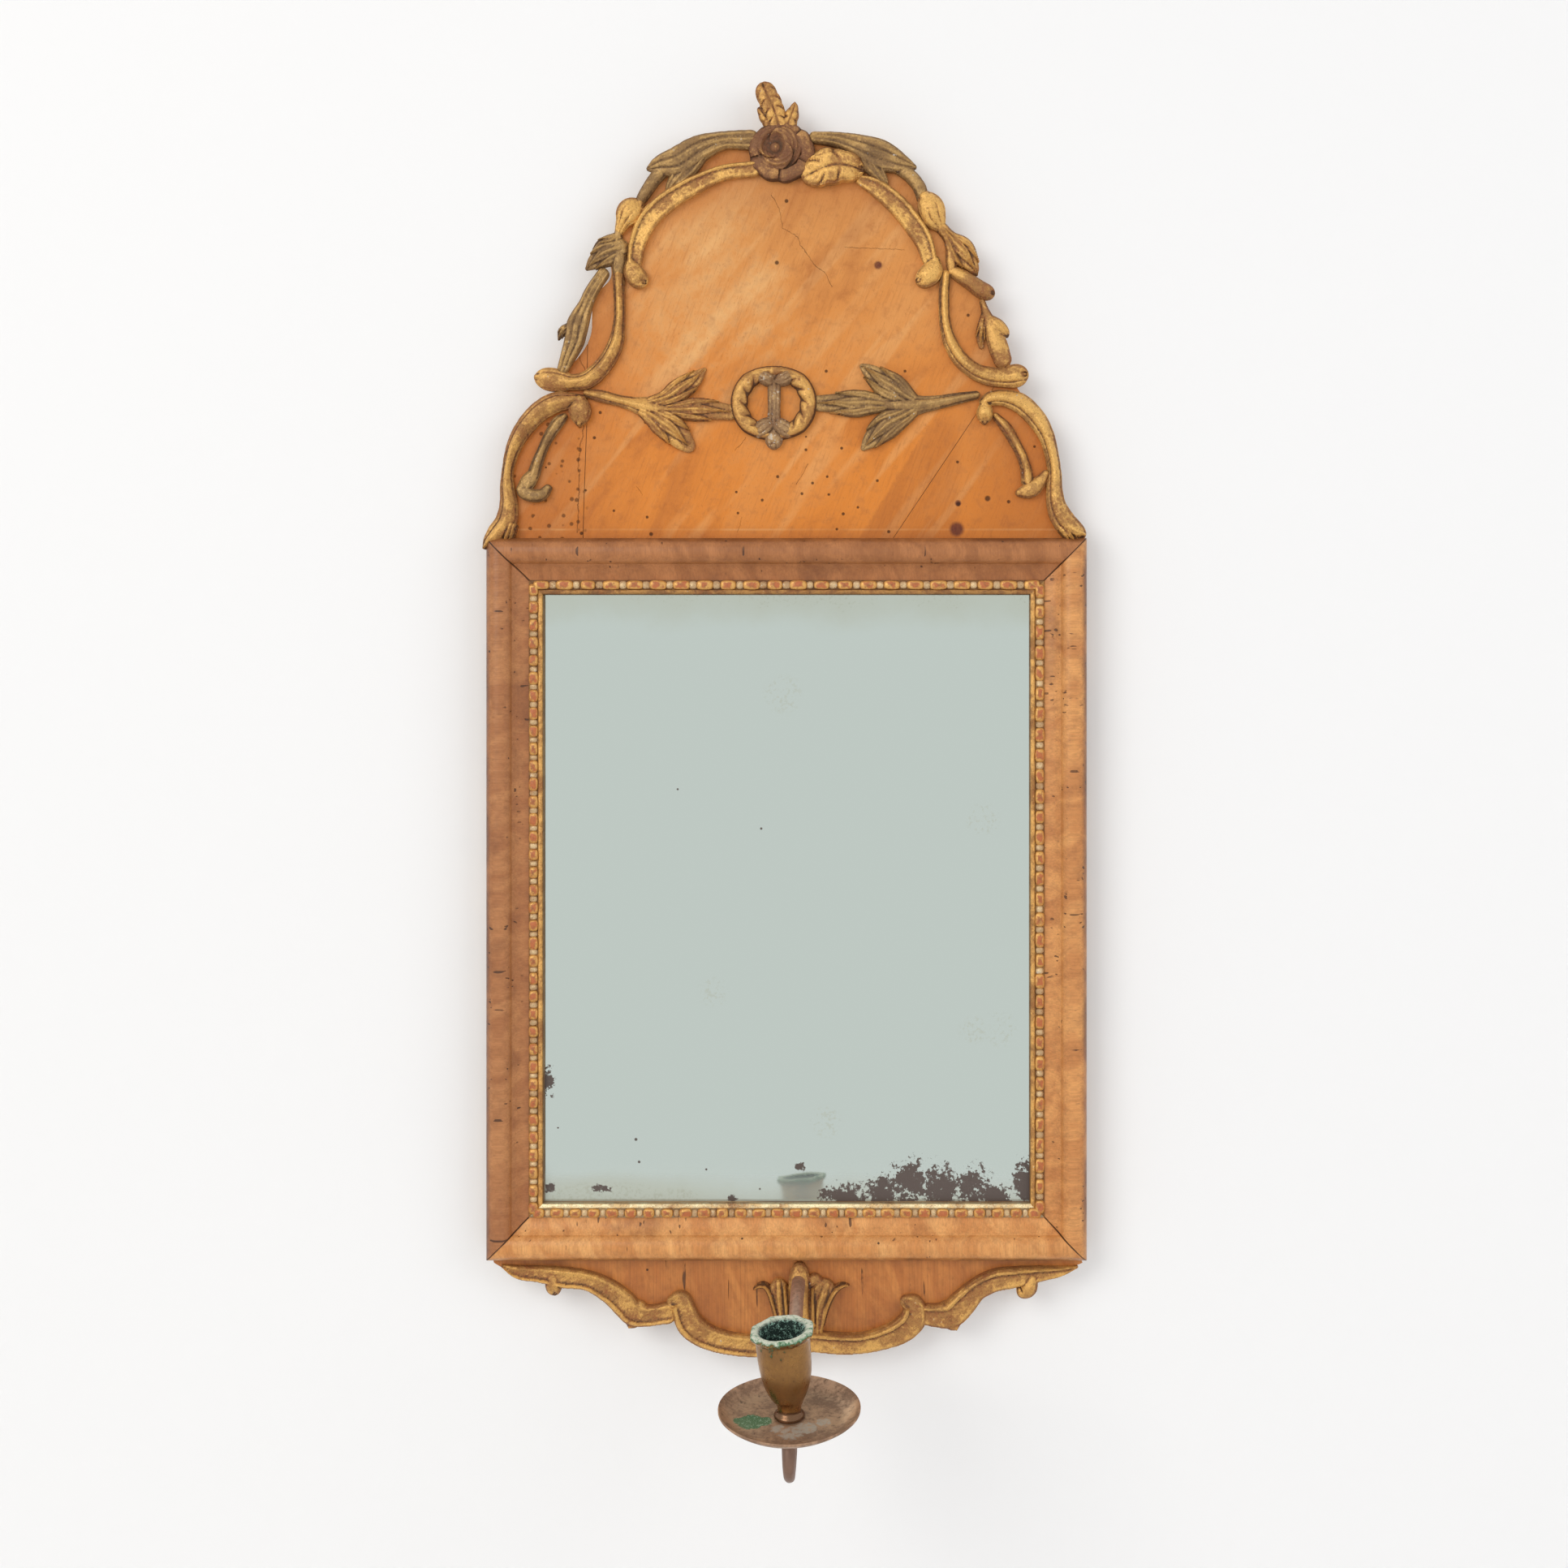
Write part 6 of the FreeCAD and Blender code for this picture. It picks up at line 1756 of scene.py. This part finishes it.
        points, faces = self._sheet([row[:3] for row in rows], False, around)
        at = np.repeat([row[3] for row in rows], self.ring_steps)
        crust = np.interp(at, *zip(*self.crusted))
        inside = np.clip((at - 27.2) / 1.6, 0.0, 1.0)
        last = len(points) - self.ring_steps
        top, low = len(points), len(points) + 1
        points = np.vstack([points, points[last:].mean(0), points[: self.ring_steps].mean(0)])
        for number in range(self.ring_steps):
            nxt = (number + 1) % self.ring_steps
            faces += [(last + number, last + nxt, top), (nxt, number, low)]
        held = {"crust": np.append(crust, [1.0, 0.0]), "inside": np.append(inside, [1.0, 0.0])}
        piece = raise_mesh("nozzle", Shell(self.placed(points), faces, held), self.brass, 60.0)
        return stand_for(piece, "candle_nozzle", "candle_nozzle")

    def pan(self) -> bpy.types.Object:
        """The thin hammered drip pan with its turned-up edge."""
        def around(number: int, radius: float, up: float, turns: np.ndarray) -> tuple[np.ndarray, np.ndarray]:
            """A slightly uneven round."""
            share = max(0.0, (radius - 12.0) / 27.0)
            reach = radius + share * (0.16 * np.sin(3 * turns + 0.5) - 0.16)
            return reach, up + share * (0.22 * np.sin(2 * turns + 1.1) + 0.12 * np.sin(5 * turns) - 0.1)

        rows = [(radius, up, 0.0) for radius, up in reversed(self.pan_top + self.pan_under)]
        points, faces = self._sheet(rows, True, around)
        piece = raise_mesh("drip_pan_plate", Shell(self.placed(points), faces), self.pan_brass, 45.0)
        return stand_for(piece, "drip_pan", "drip_pan")


# -------------------------------------------------------------------------------------------- the studio
@dataclass(frozen=True)
class Lamp:
    """A square soft light that points at the mirror's middle."""

    name: str
    place: Point
    size: float
    power: float
    colour: Point = (1.0, 1.0, 1.0)
    mirrored: bool = False

    def hang(self) -> None:
        """Puts the lamp in the scene."""
        data = bpy.data.lights.new(self.name, "AREA")
        data.shape = "SQUARE"
        data.size = self.size * MM
        data.energy = self.power
        data.color = self.colour
        light = placed_object(self.name, data)
        light.location = Vector(self.place) * MM
        aim = Vector((0.0, 0.0, -0.35)) - light.location
        light.rotation_euler = aim.to_track_quat("-Z", "Y").to_euler()
        light.visible_glossy = self.mirrored


@dataclass
class Studio:
    """Camera, lights, a white wall behind the mirror and a pale floor far below it.

    The key is high on the left, a weak fill on the right, and the back lamp is behind the wall.
    """

    eye: Point = (48.75, -1220.0, -265.5)
    lens: float = 44.4
    sensor: float = 36.0
    shift: Point = (-0.0518, -0.0699)
    wall: Colour = paint(246, 246, 246)
    wall_out: float = -1.0
    wall_up: float = 1900.0
    floor: Colour = paint(236, 236, 236)
    floor_up: float = -930.0
    floor_out: Point = (850.0, -2200.0)
    half_wide: float = 2600.0
    back_reach: float = 0.03
    soft_light: float = 0.5
    white_seen: float = 0.97
    lamps: tuple[Lamp, ...] = (
        Lamp("key", (-1500.0, -2300.0, 800.0), 1600.0, 32.0, (1.0, 0.98, 0.95), mirrored=True),
        Lamp("fill", (1500.0, -1500.0, 200.0), 1400.0, 8.5, (0.98, 0.98, 1.0)),
        Lamp("front", (200.0, -2600.0, -300.0), 1500.0, 8.0),
        Lamp("back", (0.0, 2600.0, -350.0), 900.0, 30.0),
    )

    def build(self) -> None:
        """Sets up everything round the mirror."""
        self._camera()
        self._wall()
        self._floor()
        for lamp in self.lamps:
            lamp.hang()
        self._world()
        bpy.context.scene.view_settings.view_transform = "Standard"

    def _camera(self) -> None:
        """The photograph's camera: level, square to the wall, right of the middle."""
        data = bpy.data.cameras.new("camera")
        data.sensor_width = self.sensor
        data.lens = self.lens
        data.shift_x, data.shift_y = self.shift
        data.clip_start = 0.01
        camera = placed_object("camera", data)
        camera.location = Vector(self.eye) * MM
        camera.rotation_euler = (math.radians(90.0), 0.0, 0.0)
        bpy.context.scene.camera = camera

    def _sheet(self, name: str, near: Point, far: Point, material: bpy.types.Material) -> None:
        """One flat stage surface, right across the scene, between two (Y, Z) edges in millimetres."""
        wide = self.half_wide
        corners = [(-wide, *near), (wide, *near), (wide, *far), (-wide, *far)]
        mesh = bpy.data.meshes.new(name)
        mesh.from_pydata([tuple(v * MM for v in corner) for corner in corners], [], [(0, 1, 2, 3)])
        mesh.materials.append(material)
        placed_object(name, mesh)

    def _wall(self) -> None:
        """A wall that shows from the room only: the eye and the lamp behind it reach the mirror's back."""
        material, board = new_material("wall")
        facing = board.out(board.make("ShaderNodeNewGeometry"), "Backfacing")
        path = board.make("ShaderNodeLightPath")
        close = board.out(path, "Ray Length") < self.back_reach
        open_to = facing.most(board.out(path, "Is Shadow Ray") * close)
        plaster = board.make("ShaderNodeBsdfDiffuse", None, {"Color": self.wall})
        clear = board.make("ShaderNodeBsdfTransparent")
        board.blend(open_to, plaster, clear)
        self._sheet("wall", (-self.wall_out, self.floor_up), (-self.wall_out, self.wall_up), material)

    def _floor(self) -> None:
        """A pale floor below the view."""
        material, board = new_material("floor")
        board.finish(board.out(board.make("ShaderNodeBsdfDiffuse", None, {"Color": self.floor})))
        near, far = self.floor_out
        self._sheet("floor", (-near, self.floor_up), (-far, self.floor_up), material)

    def _world(self) -> None:
        """Even white surroundings."""
        world = bpy.data.worlds.new("surroundings")
        world.use_nodes = True
        world.node_tree.nodes.clear()
        board = Board(world.node_tree)
        path = board.make("ShaderNodeLightPath")
        seen = board.out(path, "Is Camera Ray").most(board.out(path, "Is Glossy Ray"))
        soft, white = (
            board.make("ShaderNodeBackground", None, {"Color": (1.0, 1.0, 1.0, 1.0), "Strength": strength})
            for strength in (self.soft_light, self.white_seen)
        )
        board.blend(seen, soft, white, "ShaderNodeOutputWorld")
        bpy.context.scene.world = world


# ----------------------------------------------------------------------------------------------- assembly
@dataclass
class Mirror:
    """The whole mirror: dresses the CAD pieces and builds the carved and turned ones."""

    nodes: dict

    def build(self) -> None:
        """Builds the sub-assemblies in order."""
        self._casework()
        self._back()
        self._carving()
        self._beading()
        self._arm()

    def _dress(self, names: list[str], finish: Finish) -> None:
        """Gives CAD pieces a finish in place of their plain one."""
        material = finish.material()
        for name in names:
            materials = self.nodes[name].data.materials
            materials.clear()
            materials.append(material)

    def _casework(self) -> None:
        """Veneers and glass."""
        self._dress(["crest_veneer_left", "crest_veneer_middle", "crest_veneer_right"], CrestVeneer())
        rails = {
            "top": (Grain.UPRIGHT, paint(188, 124, 74), paint(164, 104, 58), 0.71),
            "bottom": (Grain.UPRIGHT, paint(238, 174, 106), paint(212, 142, 78), 0.71),
            "left": (Grain.LEVEL, paint(194, 134, 84), paint(170, 110, 66), 0.71),
            "right": (Grain.LEVEL, paint(230, 164, 98), paint(202, 134, 76), 0.67),
        }
        for number, (side, (grain, light, mid, checks)) in enumerate(rails.items()):
            name = "rail_veneer_" + side
            self._dress([name], RailVeneer(name, grain, light, mid, seed=number * 0.37, checks=checks))
        apron = RailVeneer(
            "apron_veneer", Grain.UPRIGHT, paint(208, 136, 70), paint(184, 112, 54), seed=2.0, mitred=False
        )
        self._dress(["apron_veneer"], apron)
        self._dress(["mirror_glass"], FoxedPlate())
        log.info("casework dressed")

    def _back(self) -> None:
        """The boards, tin and iron behind."""
        level = [
            "frame_rail_top", "frame_rail_bottom", "apron_board", "apron_block", "hanger_batten", "glass_wedges",
            "backboard_upper", "backboard_lower",
        ]
        upright = ["frame_rail_left", "frame_rail_right", "crest_board", "side_battens"]
        self._dress(level, BareWood("softwood_level", Grain.LEVEL))
        self._dress(upright, BareWood("softwood_upright", Grain.UPRIGHT))
        iron = DullMetal("wrought_iron", paint(70, 62, 58), paint(110, 66, 44), 0.7, 0.5)
        self._dress(["hanger_plate", "hanger_nails", "backboard_nails"], iron)
        self._dress(["tin_backing"], DullMetal("tin_leaf", paint(150, 150, 150), paint(96, 94, 92), 0.8, 0.42))
        log.info("back dressed")

    def _carving(self) -> None:
        """All gilt carving."""
        bright = Gilding("gilt_bright", gold=paint(226, 176, 98), worn=0.15, chips=0.3).material()
        worn = Gilding("gilt_worn", chips=0.45).material()
        grey = Gilding(
            "gilt_greyed", gold=paint(184, 146, 90), rubbed=paint(146, 112, 70), bole=paint(112, 84, 54), worn=0.4,
            chips=0.7,
        ).material()
        bare = Gilding(
            "gilt_bared", gold=paint(186, 150, 104), rubbed=paint(156, 122, 86), bole=paint(128, 92, 62), worn=0.6,
            chips=1.6,
        ).material()
        rose = Gilding(
            "gilt_rose", gold=paint(186, 138, 84), rubbed=paint(134, 92, 60), bole=paint(116, 72, 46), worn=1.0,
            chips=0.2,
        ).material()
        crest = (
            ("finial_leaves", FINIAL_LEAVES, worn), ("side_bud", SIDE_BUD, bright),
            ("acanthus_left", ACANTHUS_LEFT, grey), ("acanthus_right", ACANTHUS_RIGHT, grey),
            ("arch_rib_left", ARCH_RIB_LEFT, bright), ("arch_rib_right", ARCH_RIB_RIGHT, bright),
            ("bud_left", BUD_LEFT, bright), ("bud_right", BUD_RIGHT, bright),
            ("leaf_left", LEAF_LEFT, grey), ("leaf_right", LEAF_RIGHT, worn),
            ("vine_left", VINE_LEFT, grey), ("vine_right", VINE_RIGHT, worn),
            ("c_scroll_left", C_SCROLL_LEFT, worn), ("c_scroll_right", C_SCROLL_RIGHT, bright),
            ("foot_scroll_left", FOOT_SCROLL_LEFT, worn), ("foot_scroll_right", FOOT_SCROLL_RIGHT, bright),
            ("branch_left", BRANCH_LEFT, grey), ("branch_right", BRANCH_RIGHT, worn),
            ("spray_left", SPRAY_LEFT, worn), ("spray_right", SPRAY_RIGHT, grey), ("ring_bar", RING_BAR, bare),
        )
        apron = (
            ("apron_scroll_left", APRON_SCROLL_LEFT, worn), ("apron_scroll_right", APRON_SCROLL_RIGHT, worn),
            ("apron_volute_left", APRON_VOLUTE_LEFT, worn), ("apron_volute_right", APRON_VOLUTE_RIGHT, worn),
            ("apron_lily", LILY, worn),
        )
        for edge, first_seed, pieces in ((TOP, 3, crest), (BOTTOM, 40, apron)):
            for seed, (name, strokes, finish) in enumerate(pieces, first_seed):
                Ornament(name, finish, strokes, edge, seed).build()
        FinialFlower("finial_flower", rose).build()
        CentreRing("centre_ring", worn).build()

    def _beading(self) -> None:
        """The sight edge, its four strips lit and shaded copies of one gilding."""
        # Painted light: the top strip darker, as painted shade, the bottom strip brighter, as a painted highlight; the
        # upright strips keep the middle tone.
        upright = (paint(222, 170, 96), paint(168, 120, 66))
        lit_strip_tones = {
            Side.TOP: (paint(174, 128, 72), paint(130, 90, 54)), Side.RIGHT: upright,
            Side.BOTTOM: (paint(255, 238, 190), paint(240, 204, 146)), Side.LEFT: upright,
        }
        # Each strip is darkened with painted shadow between its beads, nearer the wall than 21.1 mm.
        strips = {
            side: Gilding(
                "gilt_strip_" + side.name.lower(), gold=gold, rubbed=rubbed, worn=0.3, chips=0.3, shape_held=False,
                shadow_ground=21.1,
            ).material()
            for side, (gold, rubbed) in lit_strip_tones.items()
        }
        pearl = Gilding(
            "gilt_pearl", gold=paint(216, 188, 144), rubbed=paint(192, 162, 122), bole=paint(168, 120, 76), worn=0.3,
            chips=1.2, shape_held=False,
        )
        SightBeading(strips, BeadGilding("gilt_bead", 7.0, 4.8).material(), pearl.material()).build()

    def _arm(self) -> None:
        """Candle arm, pan and nozzle."""
        # The arm is painted darker below the pan, as painted shade.
        rod = OldBrass(
            "arm_brass", paint(184, 150, 130), paint(144, 114, 98), shine=0.5, painted_shade_below=-0.664,
            painted_shade_colour=paint(120, 92, 76),
        )
        self._dress(["candle_arm"], rod)
        # The nozzle's foot is painted darker, as painted shade.
        cup = OldBrass(
            "nozzle_brass", paint(160, 118, 70), paint(126, 90, 52), crust="crust", shine=0.95, rough=0.26,
            mottled=0.6, painted_shade_below=-0.6645,
        )
        pan = OldBrass(
            "pan_brass", paint(184, 148, 118), paint(134, 104, 82),
            marks=((-13.0, -176.0, 8.5), (-6.0, -175.0, 5.0), (-19.0, -175.0, 4.0)),
            wax=((9.0, -187.0, 8.0), (2.0, -183.0, 5.0), (17.0, -182.0, 7.0), (26.0, -176.0, 5.0)),
            shine=0.6, rough=0.4,
        )
        stack = CandleStack(cup.material(), pan.material())
        stack.nozzle()
        stack.pan()
        log.info("candle arm built")


def main() -> None:
    logging.basicConfig(level=logging.INFO, format="%(name)s: %(message)s")
    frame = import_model()
    Mirror(frame["nodes"]).build()
    Studio().build()


if __name__ == "__main__":
    main()
